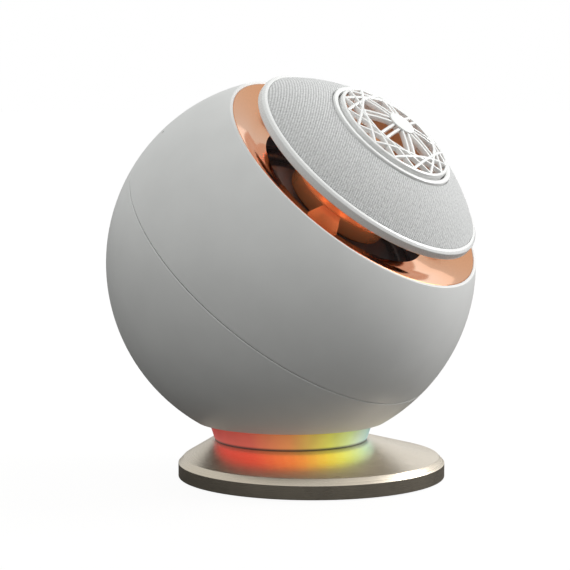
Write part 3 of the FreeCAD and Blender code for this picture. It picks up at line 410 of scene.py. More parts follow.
class Recipe(Nodes):
    """A material under construction."""

    def __init__(self, name: str) -> None:
        """Start a material that holds one main shader.

        Args:
            name: The material's name.
        """
        self.material = bpy.data.materials.new(name)
        self.material.use_nodes = True
        super().__init__(self.material.node_tree)
        self.shader = self.tree.nodes["Principled BSDF"]
        self.place = self.node("ShaderNodeTexCoord").outputs["Object"]

    def along(self, direction: Sequence[float], scale: float = 1.0) -> Socket:
        """Return the distance of a point along a direction, times a scale."""
        return self.vector("DOT_PRODUCT", self.place, tuple(part * scale for part in direction))

    def noise(self, scale: float, detail: float = 2.0, vector: Optional[Socket] = None) -> Socket:
        """Return a cloudy pattern of a given fineness."""
        return self.out("ShaderNodeTexNoise", {"Scale": scale, "Detail": detail,
                                               "Vector": vector or self.place})

    def blend(self, share: Socket, *ends: object) -> Socket:
        """Return a colour that goes from one end to the other with the share."""
        first, last = (end if isinstance(end, Socket) else (*end, 1.0) for end in ends)
        return self.node("ShaderNodeMix", {0: share, 6: first, 7: last}, data_type="RGBA").outputs[2]

    def toned(self, colour: Colour, pattern: Socket, low: float, high: float) -> Socket:
        """Return a colour that a pattern makes darker and lighter."""
        return self.blend(self.spread(pattern, 0.0, 1.0), shade(colour, low), shade(colour, high))

    def relief(self, height: Socket, depth: float, strength: float = 1.0) -> Socket:
        """Return the normal of a surface with a pattern pressed into it."""
        return self.out("ShaderNodeBump", {"Height": height, "Distance": depth * MM, "Strength": strength})

    def surface(self, **values: object) -> None:
        """Set the shader's inputs by their names, with spaces written as underscores."""
        self.feed(self.shader, {key.replace("_", " "): value for key, value in values.items()})


# ---------------------------------------------------------------- finishes

def shade(colour: Colour, amount: float) -> Colour:
    """Return a colour made lighter or darker by an amount."""
    return tuple(max(0.0, min(1.0, part * amount)) for part in colour)


@dataclass(frozen=True)
class Moulded:
    """A moulded plastic with a fine grain.

    Attributes:
        colour: Its colour.
        rough: Its mean roughness.
        grain: The width of a grain.
        depth: The depth of the grain.
        coat: The share of clear gloss on top.
    """

    colour: Colour
    rough: float
    grain: float
    depth: float
    coat: float = 0.0

    def build(self, recipe: Recipe) -> None:
        """Build the finish in a recipe."""
        fine = recipe.noise(1 / (self.grain * MM), 3.0)
        recipe.surface(Base_Color=recipe.toned(self.colour, recipe.noise(60.0), 0.975, 1.015),
                       Roughness=recipe.spread(fine, self.rough - 0.05, self.rough + 0.05),
                       Normal=recipe.relief(fine, self.depth, 0.6), Coat_Weight=self.coat,
                       Coat_Roughness=0.08)


@dataclass(frozen=True)
class MirrorPlate:
    """A polished metal plating with a faint waviness.

    Attributes:
        colour: Its reflected colour.
        rough: Its mean roughness.
        metal: The share of metal in its shine.
    """

    colour: Colour
    rough: float
    metal: float = 1.0

    def build(self, recipe: Recipe) -> None:
        """Build the finish in a recipe."""
        haze = recipe.noise(900.0, 4.0)
        recipe.surface(Base_Color=recipe.toned(self.colour, haze, 0.96, 1.0),
                       Roughness=recipe.spread(haze, self.rough * 0.6, self.rough * 1.5),
                       Normal=recipe.relief(recipe.noise(45.0, 1.0), 0.03, 0.25), Metallic=self.metal)


@dataclass(frozen=True)
class BrushedMetal:
    """A metal brushed in rings about an upright axis.

    Attributes:
        colour: Its reflected colour.
        rough: Its mean roughness.
        centre: The axis's place on the floor, in metres.
        line: The width of a brush line.
    """

    colour: Colour
    rough: float
    centre: tuple[float, float, float] = (0.0, 0.0, 0.0)
    line: float = 0.12

    def build(self, recipe: Recipe) -> None:
        """Build the finish in a recipe."""
        flat = recipe.vector("MULTIPLY", recipe.vector("SUBTRACT", recipe.place, self.centre), (1, 1, 0))
        across = recipe.math("ADD", recipe.vector("LENGTH", flat), recipe.along((0, 0, 1)))
        lines = recipe.out("ShaderNodeTexNoise", {"Scale": 1 / (self.line * MM), "Detail": 3.0, "W": across},
                           noise_dimensions="1D")
        mixed = recipe.math("ADD", recipe.math("MULTIPLY", lines, 0.75),
                            recipe.math("MULTIPLY", recipe.noise(70.0), 0.25))
        recipe.surface(Base_Color=recipe.toned(self.colour, mixed, 0.88, 1.05),
                       Roughness=recipe.spread(mixed, self.rough - 0.07, self.rough + 0.07),
                       Normal=recipe.relief(lines, 0.002, 0.4), Metallic=1.0, Anisotropic=0.5)


@dataclass(frozen=True)
class RibbedCloth:
    """A ribbed melange cloth stretched over the head.

    Attributes:
        light: The colour of the raised threads.
        dark: The colour of the flecks, and at 0.6 of it the painted shade in the rib valleys.
        pitch: The distance between ribs.
        turn: The direction of the ribs in the head's plane, in degrees.
    """

    light: Colour = (0.74, 0.745, 0.74)
    dark: Colour = (0.42, 0.42, 0.42)
    pitch: float = 0.95
    turn: float = 36.0

    def build(self, recipe: Recipe) -> None:
        """Build the finish in a recipe."""
        turn = math.radians(self.turn)
        pitch = self.pitch * MM
        along = HEAD.right * math.cos(turn) + HEAD.back * math.sin(turn)
        across = HEAD.back * math.cos(turn) - HEAD.right * math.sin(turn)
        wave = recipe.math("SINE", recipe.along(across, math.tau / pitch))
        stitch = recipe.math("SINE", recipe.along(along, math.tau / (pitch * 0.8)))
        weave = recipe.math("ADD", recipe.math("MULTIPLY", wave, 0.7), recipe.math("MULTIPLY", stitch, 0.2))
        grid = recipe.out("ShaderNodeCombineXYZ", {0: recipe.along(across, 1 / pitch),
                                                   1: recipe.along(along, 0.7 / pitch)})
        fleck = recipe.spread(recipe.noise(1.3, 2.0, grid), 0.0, 0.85, 0.42, 0.74)
        # Painted shade: the colour darkens in the rib valleys, on top of the bump's own shading.
        painted_valley_shade = recipe.spread(weave, 0.38, 0.0, -0.9, 0.1)
        height = recipe.math("ADD", weave, recipe.math("MULTIPLY", recipe.noise(7000.0), 0.5))
        base = recipe.blend(fleck, self.light, self.dark)
        recipe.surface(Base_Color=recipe.blend(painted_valley_shade, base, shade(self.dark, 0.6)), Roughness=0.88,
                       Normal=recipe.relief(height, 0.12, 0.9), Sheen_Weight=0.35, Sheen_Roughness=0.45)


@dataclass(frozen=True)
class Woven:
    """A small plain-woven cloth, such as a spider or a silk dome.

    Attributes:
        colour: Its colour.
        thread: The width of a thread.
        rough: Its roughness.
    """

    colour: Colour
    thread: float = 0.3
    rough: float = 0.8

    def build(self, recipe: Recipe) -> None:
        """Build the finish in a recipe."""
        scale = math.tau / (self.thread * 2 * MM)
        weave = recipe.math("MULTIPLY", *[recipe.math("SINE", recipe.along(way, scale))
                                          for way in (HEAD.right, HEAD.back)])
        share = recipe.spread(weave, 0.0, 1.0, -1.0, 1.0)
        recipe.surface(Base_Color=recipe.blend(share, shade(self.colour, 0.7), self.colour),
                       Roughness=self.rough, Normal=recipe.relief(weave, 0.05), Sheen_Weight=0.2)


BAND_COLOURS: dict[float, Colour] = {
    0.0: (0.55, 0.075, 0.045), 0.083: (0.62, 0.21, 0.05), 0.164: (0.60, 0.57, 0.065),
    0.215: (0.50, 0.62, 0.20), 0.25: (0.46, 0.60, 0.42), 0.333: (0.20, 0.45, 0.50),
    0.5: (0.05, 0.13, 0.60), 0.66: (0.28, 0.05, 0.50), 0.78: (0.40, 0.04, 0.20),
    0.8333: (0.38, 0.05, 0.05), 0.917: (0.50, 0.06, 0.045), 1.0: (0.55, 0.075, 0.045),
}


def band_colour(turn: float) -> Colour:
    """Return the light band's colour at a share of a full turn."""
    spots = list(BAND_COLOURS)
    for low, high in zip(spots, spots[1:]):
        if low <= turn <= high:
            share = (turn - low) / (high - low)
            return tuple(a + (b - a) * share for a, b in zip(BAND_COLOURS[low], BAND_COLOURS[high]))
    return BAND_COLOURS[0.0]


@dataclass(frozen=True)
class LightBand:
    """The diffuser of the ring of lamps, whose colour changes round the neck, with a painted shadow line at its
    foot.

    Attributes:
        power: The strength of its light.
    """

    power: float = 0.85

    def build(self, recipe: Recipe) -> None:
        """Build the finish in a recipe."""
        turn = recipe.node("ShaderNodeTexGradient", {"Vector": recipe.place},
                           gradient_type="RADIAL").outputs["Fac"]
        ramp = recipe.node("ShaderNodeValToRGB", {"Fac": turn})
        elements = ramp.color_ramp.elements
        elements.remove(elements[-1])
        for index, (spot, colour) in enumerate(BAND_COLOURS.items()):
            element = elements[0] if index == 0 else elements.new(spot)
            element.position = spot
            element.color = (*colour, 1.0)
        height = recipe.along((0, 0, 1), 1 / MM)
        # The glow fades out from 16.7 mm down to 15.7 mm, a painted shadow line where the band meets the foot, and
        # falls off towards the top.
        glow_falloff_and_painted_foot_shadow = recipe.math("MULTIPLY", recipe.spread(height, 0.05, 1.0, 15.7, 16.7),
                           recipe.spread(height, 1.05, 0.8, 17.0, 24.0))
        dim = recipe.math("MULTIPLY", glow_falloff_and_painted_foot_shadow, recipe.spread(recipe.noise(140.0, 1.0), 0.93, 1.05))
        level = recipe.out("ShaderNodeCombineXYZ", {0: dim, 1: dim, 2: dim})
        recipe.surface(Base_Color=(0.10, 0.10, 0.10, 1.0), Roughness=0.4, Specular_IOR_Level=0.25,
                       Normal=recipe.relief(recipe.noise(2500.0), 0.004, 0.4), Emission_Strength=self.power,
                       Emission_Color=recipe.vector("MULTIPLY", ramp.outputs["Color"], level))


@dataclass(frozen=True)
class CastGrain:
    """A coarse dull surface, such as rubber, ferrite, cast iron or pressed pulp.

    Attributes:
        colour: Its colour.
        rough: Its mean roughness.
        grain: The width of a grain.
        metal: The share of metal in its shine.
    """

    colour: Colour
    rough: float
    grain: float
    metal: float = 0.0

    def build(self, recipe: Recipe) -> None:
        """Build the finish in a recipe."""
        grain = recipe.noise(1 / (self.grain * MM), 5.0)
        recipe.surface(Base_Color=recipe.toned(self.colour, grain, 0.75, 1.2),
                       Roughness=recipe.spread(grain, self.rough - 0.1, self.rough + 0.1),
                       Normal=recipe.relief(grain, 0.05, 0.5), Metallic=self.metal)


FINISHES: dict[str, object] = {
    "shell_white": Moulded((0.80, 0.80, 0.79), 0.40, 0.35, 0.010),
    "rim_white": Moulded((0.84, 0.84, 0.83), 0.28, 0.6, 0.006, 0.2),
    "grille_white": Moulded((0.90, 0.90, 0.89), 0.22, 0.8, 0.005, 0.4),
    "copper_plate": MirrorPlate((0.84, 0.40, 0.20), 0.07),
    "copper_inside": MirrorPlate((0.84, 0.33, 0.14), 0.12, 0.7),
    "fabric_grey": RibbedCloth(),
    "foot_metal": BrushedMetal((0.70, 0.62, 0.51), 0.28, (0.0, -0.0103, 0.0), 0.09),
    "light_ring": LightBand(),
    "dark_plastic": Moulded((0.045, 0.045, 0.05), 0.45, 0.4, 0.02),
    "pad_rubber": CastGrain((0.05, 0.05, 0.05), 0.75, 0.5),
    "ballast_iron": CastGrain((0.20, 0.20, 0.21), 0.55, 0.9, 0.7),
    "screw_steel": MirrorPlate((0.68, 0.68, 0.70), 0.22),
    "board_green": Moulded((0.03, 0.20, 0.11), 0.35, 1.4, 0.02, 0.3),
    "chip_black": CastGrain((0.045, 0.045, 0.05), 0.5, 0.25),
    "led_white": Moulded((0.92, 0.90, 0.80), 0.3, 0.5, 0.004),
    "aluminium": BrushedMetal((0.74, 0.75, 0.77), 0.33),
    "magnet_ferrite": CastGrain((0.08, 0.08, 0.09), 0.5, 0.5, 0.3),
    "motor_steel": BrushedMetal((0.42, 0.42, 0.44), 0.35),
    "cone_paper": CastGrain((0.03, 0.03, 0.033), 0.38, 1.2),
    "roll_rubber": CastGrain((0.022, 0.022, 0.024), 0.32, 0.5),
    "spider_cloth": Woven((0.66, 0.48, 0.20)),
    "coil_copper": BrushedMetal((0.78, 0.42, 0.24), 0.3),
    "tweeter_silk": Woven((0.20, 0.20, 0.21), 0.2, 0.5),
    "lead_rubber": CastGrain((0.04, 0.04, 0.04), 0.6, 0.4),
}
MATERIALS: dict[str, bpy.types.Material] = {}


def finish(look: str) -> bpy.types.Material:
    """Return the material of a finish, built on its first use."""
    if look not in MATERIALS:
        recipe = Recipe(look)
        FINISHES[look].build(recipe)
        MATERIALS[look] = recipe.material
    return MATERIALS[look]


def dress(piece: Piece, look: str) -> None:
    """Give a piece the material of a finish."""
    piece.data.materials.clear()
    piece.data.materials.append(finish(look))
    for item in piece.material_slots:
        item.material = finish(look)


def seat(piece: Piece, slot: str, *nodes: str, body: Body = Body.SPEAKER, look: Optional[str] = None) -> None:
    """Dress a finished piece, put it on a body and hide the nodes it stands for.

    Args:
        piece: The piece.
        slot: The material slot that it takes its finish from.
        *nodes: The nodes that it stands for.
        body: The body that it rides on.
        look: The finish, where it isn't the slot's own.
    """
    dress(piece, look or slot)
    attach(piece, body.value)
    if nodes:
        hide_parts(*nodes)
    LOG.info("%s: %d faces on %s", piece.name, len(piece.data.polygons), body.value)


def lathe(name: str, slot: str, node: str, outline: Outline, steps: int = 192, **options: object) -> None:
    """Turn an outline about the head's axis, and put it in place of a node.

    Args:
        name: The piece's name.
        slot: The material slot that it takes its finish from.
        node: The node that it stands for.
        outline: Corners as (radius, height) or (radius, height, rounding).
        steps: The number of edges round the axis.
        **options: Where it isn't the usual one, its body or look.
    """
    seat(turned(name, outline, HEAD, steps), slot, node, **options)


# ---------------------------------------------------------------- repeated shapes

class Tree(Nodes):
    """A geometry tree under construction."""

    def __init__(self, name: str) -> None:
        """Start a tree with one geometry output.

        Args:
            name: The tree's name.
        """
        super().__init__(bpy.data.node_groups.new(name, "GeometryNodeTree"))
        self.tree.interface.new_socket("Shape", in_out="OUTPUT", socket_type="NodeSocketGeometry")
        self.entry = self.node("NodeGroupInput")
        self.exit = self.node("NodeGroupOutput")
        self.values: dict[str, object] = {}

    def size(self, name: str, value: object, kind: str = "NodeSocketFloat") -> Socket:
        """Add a named input and return its socket."""
        item = self.tree.interface.new_socket(name, in_out="INPUT", socket_type=kind)
        self.values[item.identifier] = value
        return self.entry.outputs[name]

    def count(self, name: str, value: int) -> Socket:
        """Add a named whole number and return its socket."""
        return self.size(name, value, "NodeSocketInt")

    def join(self, *shapes: Socket) -> Socket:
        """Join shapes into one."""
        made = self.node("GeometryNodeJoinGeometry")
        for shape in shapes:
            self.feed(made, {0: shape})
        return made.outputs[0]

    def cylinder(self, sides: int, radius: object, depth: object) -> Socket:
        """Return an upright cylinder about the middle of the axes."""
        return self.out("GeometryNodeMeshCylinder", {"Vertices": sides, "Radius": radius, "Depth": depth})

    def circle(self, count: Socket, radius: Socket) -> Socket:
        """Return points spaced evenly on a level circle."""
        return self.out("GeometryNodeMeshCircle", {"Vertices": count, "Radius": radius})

    def copies(self, points: Socket, shape: Socket, **values: object) -> Socket:
        """Return a copy of a shape at every point."""
        return self.out("GeometryNodeInstanceOnPoints", {"Points": points, "Instance": shape, **values})

    def upward(self, height: object) -> Socket:
        """Return a vector along the out axis."""
        return self.out("ShaderNodeCombineXYZ", {2: height})

    def moved(self, shape: Socket, offset: object, turn: float = 0.0) -> Socket:
        """Return a shape turned about the out axis and moved."""
        return self.out("GeometryNodeTransform", {"Geometry": shape, "Translation": offset,
                                                  "Rotation": (0.0, 0.0, turn)})

    def piece(self, name: str, shape: Socket, slot: str, place: Place) -> Piece:
        """End the tree, evaluate it and return the plain mesh.

        Args:
            name: The piece's name.
            shape: The shape to realise, in a place's millimetres.
            slot: The material slot of the shape.
            place: The axes that the shape is built in.

        Returns:
            The piece with no modifier.
        """
        real = self.out("GeometryNodeRealizeInstances", {"Geometry": shape})
        paint = self.out("GeometryNodeSetMaterial", {"Geometry": real, "Material": finish(slot)})
        self.feed(self.exit, {0: paint})
        made = link(name, bpy.data.meshes.new(name))
        modifier = made.modifiers.new("tree", "NODES")
        modifier.node_group = self.tree
        for identifier, value in self.values.items():
            modifier[identifier] = value
        plain_mesh(made)
        made.data.transform(place.matrix())
        smooth(made)
        return made


@dataclass(frozen=True)
class ScrewRing:
    """Screws with a six-sided recess, driven up from below and spaced evenly on a circle.

    Attributes:
        name: The name of the node that the screws stand for.
        count: The number of screws.
        circle: The radius of the circle.
        first: The angle of the first screw, in degrees.
        seat_height: The height at which the heads seat.
        length: The length of a shank.
        head_radius: The radius of a head.
        head_height: The height of a head.
        shank_radius: The radius of a shank.
    """

    name: str = "base_screws"
    count: int = 4
    circle: float = 52.3
    first: float = 45.0
    seat_height: float = 1.0
    length: float = 4.0
    head_radius: float = 2.5
    head_height: float = 0.7
    shank_radius: float = 1.4

    def build(self, place: Place) -> None:
        """Build the screws in a place's axes."""
        tree = Tree(self.name)
        radius = tree.size("Head radius", self.head_radius)
        height = tree.size("Head height", self.head_height)
        length = tree.size("Length", self.length)
        circle = tree.size("Circle radius", self.circle)
        count = tree.count("Count", self.count)
        head = tree.moved(tree.cylinder(28, radius, height), tree.upward(tree.math("MULTIPLY", height, -0.5)))
        recess = tree.moved(tree.cylinder(6, tree.math("MULTIPLY", radius, 0.5), height),
                            tree.upward(tree.math("MULTIPLY", height, -1.0)))
        bored = tree.out("GeometryNodeMeshBoolean", {0: head, 1: recess}, operation="DIFFERENCE")
        shank = tree.moved(tree.cylinder(20, self.shank_radius, length),
                           tree.upward(tree.math("MULTIPLY", length, 0.5)))
        ring = tree.moved(tree.copies(tree.circle(count, circle), tree.join(bored, shank)),
                          (0.0, 0.0, self.seat_height), math.radians(self.first))
        seat(tree.piece(self.name + "_turned", ring, "screw_steel", place), "screw_steel", self.name)


# ---------------------------------------------------------------- foot and neck

@dataclass(frozen=True)
class Foot:
    """The weighted metal foot.

    Attributes:
        radius: The plate's radius.
        forward: How far the plate's centre is in front of the neck.
        bottom: The height of its lower face.
        side_top: The height of its side.
        bevel_width: The width of the bevel.
        bevel_top: The height of the bevel's upper edge.
        seat_radius: The radius of the neck's seat.
        seat_top: The height of the neck's seat.
        wall: The plate's wall.
        cavity_top: The height of the cavity's roof at its side.
        bore: The radius of the bore for the post.
        slot_size: The width and height of the power socket's slot.
        slot_middle: The height of the slot's middle.
    """

    radius: float = 57.8
    forward: float = 10.3
    bottom: float = 0.3
    side_top: float = 6.25
    bevel_width: float = 2.4
    bevel_top: float = 8.85
    seat_radius: float = 34.4
    seat_top: float = 15.55
    wall: float = 2.6
    cavity_top: float = 6.0
    bore: float = 18.0
    slot_size: tuple[float, float] = (9.14, 3.4)
    slot_middle: float = 4.2

    def plate(self) -> None:
        """Build the plate with its socket slot."""
        plate = mesh_piece("foot_plate", ring_mesh(self.outside() + self.inside(), 224), FLOOR)
        width, height = self.slot_size
        mouth = (0, self.radius - self.forward, self.slot_middle)
        cut_away(plate, [mesh_piece("slot_tool", block_mesh((width, 12.0, height), mouth, 1.2), FLOOR)])
        hold_normals(plate, lambda point: Vector((point.x, point.y + self.forward * MM, 0)), self.radius)
        seat(plate, "foot_metal", "base_plate")

    def outside(self) -> list[tuple[float, float, float]]:
        """Return the rings of the side, the bevel and the sloping top, up to the neck's seat."""
        rounds = soften([(self.radius - self.wall, self.bottom), (self.radius, self.bottom, 0.35),
                         (self.radius, self.side_top, 0.3),
                         (self.radius - self.bevel_width, self.bevel_top, 0.4),
                         (self.seat_radius, self.seat_top)], 6)
        slope = even(rounds[-2], rounds[-1], 24)[1:]
        rise = self.seat_top - self.bevel_top
        return [(radius, -self.forward * (1 - max(0.0, (height - self.bevel_top) / rise)), height)
                for radius, height in [*rounds[:-1], *slope]]

    def inside(self) -> list[tuple[float, float, float]]:
        """Return the rings of the seat, the bore, the sloping roof and the cavity's side."""
        under = self.seat_top - self.wall
        roof = even((self.seat_radius - self.wall, 0.0, under),
                    (self.radius - self.bevel_width - self.wall, -self.forward, self.cavity_top), 12)
        return [(self.bore, 0.0, self.seat_top), (self.bore, 0.0, under), *roof,
                (self.radius - self.wall, -self.forward, self.cavity_top)]

    def build(self) -> None:
        """Build the plate, the rubber ring that it stands on and the screws of its cover."""
        self.plate()
        centre = FLOOR.shifted(0, -self.forward)
        pad = [(40.8, 0.0, 0.3), (48.8, 0.0, 0.3), (48.8, 1.0), (44.8, 1.0), (40.8, 1.0)]
        seat(turned("foot_rubber", pad, centre), "pad_rubber", "foot_pad")
        ScrewRing().build(centre)


@dataclass(frozen=True)
class Neck:
    """The lit ring between the foot and the ball.

    Attributes:
        bottom: The ring's foot as (radius, height).
        top: The ring's top as (radius, height).
        wall: The ring's wall.
        lamps: The number of lamps.
        lamp_circle: The radius of the circle of lamps.
        lamp_width: The width of a lamp.
        lens: The radius of a lamp's lens.
        proud: How far the lens stands out of the lamp.
    """

    bottom: tuple[float, float] = (33.2, 15.55)
    top: tuple[float, float] = (36.0, 23.95)
    wall: float = 2.2
    lamps: int = 12
    lamp_circle: float = 28.0
    lamp_width: float = 2.8
    lens: float = 1.1
    proud: float = 0.02

    def lamp_ring(self) -> None:
        """Build the ring of lamp packages from a geometry tree."""
        low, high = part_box("led_chips")
        tall = (high.z - low.z) / MM
        tree = Tree("lamp_ring")
        count = tree.count("Count", self.lamps)
        circle = tree.size("Circle radius", self.lamp_circle)
        package = tree.out("GeometryNodeMeshCube", {"Size": (self.lamp_width, self.lamp_width, tall)})
        lens = tree.moved(tree.cylinder(16, self.lens, tall), (0, 0, self.proud))
        ring = tree.copies(tree.circle(count, circle), tree.join(package, lens))
        raised = tree.moved(ring, (0, 0, low.z / MM + tall / 2))
        seat(tree.piece("lamp_ring", raised, "led_white", FLOOR), "led_white", "led_chips")

    def build(self) -> None:
        """Build the translucent ring and the lamps in it."""
        band = [(*self.bottom, 0.15), (*self.top, 0.15), (self.top[0] - self.wall, self.top[1]),
                (self.bottom[0] - self.wall, self.bottom[1])]
        seat(turned("light_band", band, FLOOR), "light_ring", "light_diffuser")
        self.lamp_ring()


# ---------------------------------------------------------------- ball

@dataclass(frozen=True)
class Ball:
    """The two halves of the ball.

    Attributes:
        radius: The ball's radius.
        wall: The wall of both halves.
        seam: The height of the seam.
        gap: The width of the seam's groove.
        opening: The height of the opening for the dish.
        floor: The height of the ball's flat floor above the table.
        key_shifts: The places of the keys along their row.
        microphones: The turns of the microphone holes about the head's axis, in degrees.
        microphone_lean: The angle between a microphone hole and the head's axis, in degrees.
    """

    radius: float = 80.0
    wall: float = 2.6
    seam: float = -5.0
    gap: float = 0.34
    opening: float = 48.0
    floor: float = 23.95
    key_shifts: tuple[float, ...] = (-13.0, 0.0, 13.0)
    microphones: tuple[float, ...] = (60.8, 119.2)
    microphone_lean: float = 78.5

    def shell(self, name: str, node: str, outline: Outline, tools: Sequence[Piece]) -> None:
        """Turn one half, cut its openings and put it in place of its node."""
        shell = turned(name, outline, HEAD, 256)
        cut_away(shell, tools)
        hold_normals(shell, lambda point: point - HEAD.origin, self.radius)
        seat(shell, "shell_white", node)

    def front(self) -> None:
        """Build the front half with its key and microphone holes."""
        edge = self.seam + self.gap / 2
        outside = sphere_arc(self.radius, edge, self.opening, 56)
        inside = sphere_arc(self.radius - self.wall, 41.8, edge, 40)
        holes = [turned("key_hole", [(0, 70), (5.0, 70), (5.0, 84), (0, 84)], KEYS.shifted(shift, 0), 64)
                 for shift in self.key_shifts]
        self.shell("front_ball", "front_shell",
                   [(*outside[0], 0.35), *outside[1:-1], (*outside[-1], 0.5), (62.7, 48.0, 0.3), (62.7, 44.0),
                    (60.2, 44.0), (60.2, 41.8), *inside],
                   holes + [self.sound_hole(turn) for turn in self.microphones])

    def sound_hole(self, turn: float) -> Piece:
        """Return the tool for one microphone's hole at a turn about the head's axis."""
        lean = math.radians(self.microphone_lean)
        right, back = polar(1.0, math.radians(turn))
        out = (HEAD.right * right + HEAD.back * back) * math.sin(lean) + HEAD.out * math.cos(lean)
        side = out.cross(HEAD.out).normalized()
        place = Place(HEAD.origin, side, out.cross(side), out)
        return turned("sound_hole", [(0, 72), (0.8, 72), (0.8, 84), (0, 84)], place, 32)

    def rear(self) -> None:
        """Build the rear half with its tongue and flat floor."""
        edge = self.seam - self.gap / 2
        outside = sphere_arc(self.radius, -self.radius, edge, 72)
        inside = sphere_arc(self.radius - self.wall, -11.0, self.wall - self.radius, 60)
        slab = mesh_piece("slab_tool", block_mesh((140, 140, 40), (0, 0, self.floor - 20)), FLOOR)
        self.shell("rear_ball", "rear_shell",
                   [*outside[:-1], (*outside[-1], 0.35), (76.9, edge), (76.9, -1.2), (75.2, -1.2),
                    (75.2, -11.0), *inside], [slab])
        disc = [(16.0, self.floor), (36.4, self.floor), (36.4, 26.5), (16.0, 26.5)]
        seat(turned("ball_floor", disc, FLOOR), "shell_white")

    def build(self) -> None:
        """Build both halves."""
        self.front()
        self.rear()


class Sign(Enum):
    """The plain signs on the keys."""

    MINUS = "minus"
    DOT = "dot"
    PLUS = "plus"


@dataclass(frozen=True)
class Key:
    """One round key on the back of the ball, with its raised sign.

    Attributes:
        node: The node that the key stands for.
        body: The body that the key rides on.
        shift: The key's place along the row of keys.
        sign: Its sign.
        radius: The cap's radius.
        crown: The radius of the sphere that its top follows.
        bar: The length and width of a sign's bar.
    """

    node: str
    body: Body
    shift: float
    sign: Sign
    radius: float = 4.6
    crown: float = 80.5
    bar: tuple[float, float] = (3.2, 0.55)

    def follow(self, mesh: Mesh) -> Mesh:
        """Move a mesh to the key and lift the points near the top onto the crown."""
        for vertex in mesh.verts:
            vertex.co.x += self.shift
            if vertex.co.z > self.crown - 2:
                level = math.sqrt(self.crown ** 2 - vertex.co.x ** 2 - vertex.co.y ** 2)
                vertex.co.z += level - self.crown
        return mesh

    def cap(self) -> None:
        """Build the cap with its flange and stem."""
        top = self.crown
        outline = soften([(0, top), (self.radius * 0.4, top), (self.radius * 0.75, top),
                          (self.radius, top, 0.5), (self.radius, 74.6), (6.1, 74.6), (6.1, 73.6),
                          (1.5, 73.6), (1.5, 70.2), (0, 70.2)])
        mesh = self.follow(ring_mesh([(radius, 0.0, height) for radius, height in outline], 64))
        seat(mesh_piece(self.node + "_cap", mesh, KEYS), "shell_white", self.node, body=self.body)

    def mark(self) -> None:
        """Build the raised sign."""
        top = self.crown + 0.02
        bars = {Sign.MINUS: [self.bar], Sign.PLUS: [self.bar, self.bar[::-1]], Sign.DOT: []}[self.sign]
        pieces = [mesh_piece("bar", self.follow(block_mesh((wide, deep, 0.2), (0, 0, top), 0.06)), KEYS)
                  for wide, deep in bars]
        if self.sign is Sign.DOT:
            rings = [(0, 0, top + 0.1), (0.6, 0, top + 0.1), (0.7, 0, top), (0.7, 0, top - 0.2),
                     (0, 0, top - 0.2)]
            pieces = [mesh_piece("dot", self.follow(ring_mesh(rings, 32)), KEYS)]
        seat(joined(f"sign_{self.sign.value}", pieces), "chip_black", body=self.body)

    def build(self) -> None:
        """Build the key."""
        self.cap()
        self.mark()


# ---------------------------------------------------------------- sound path and head

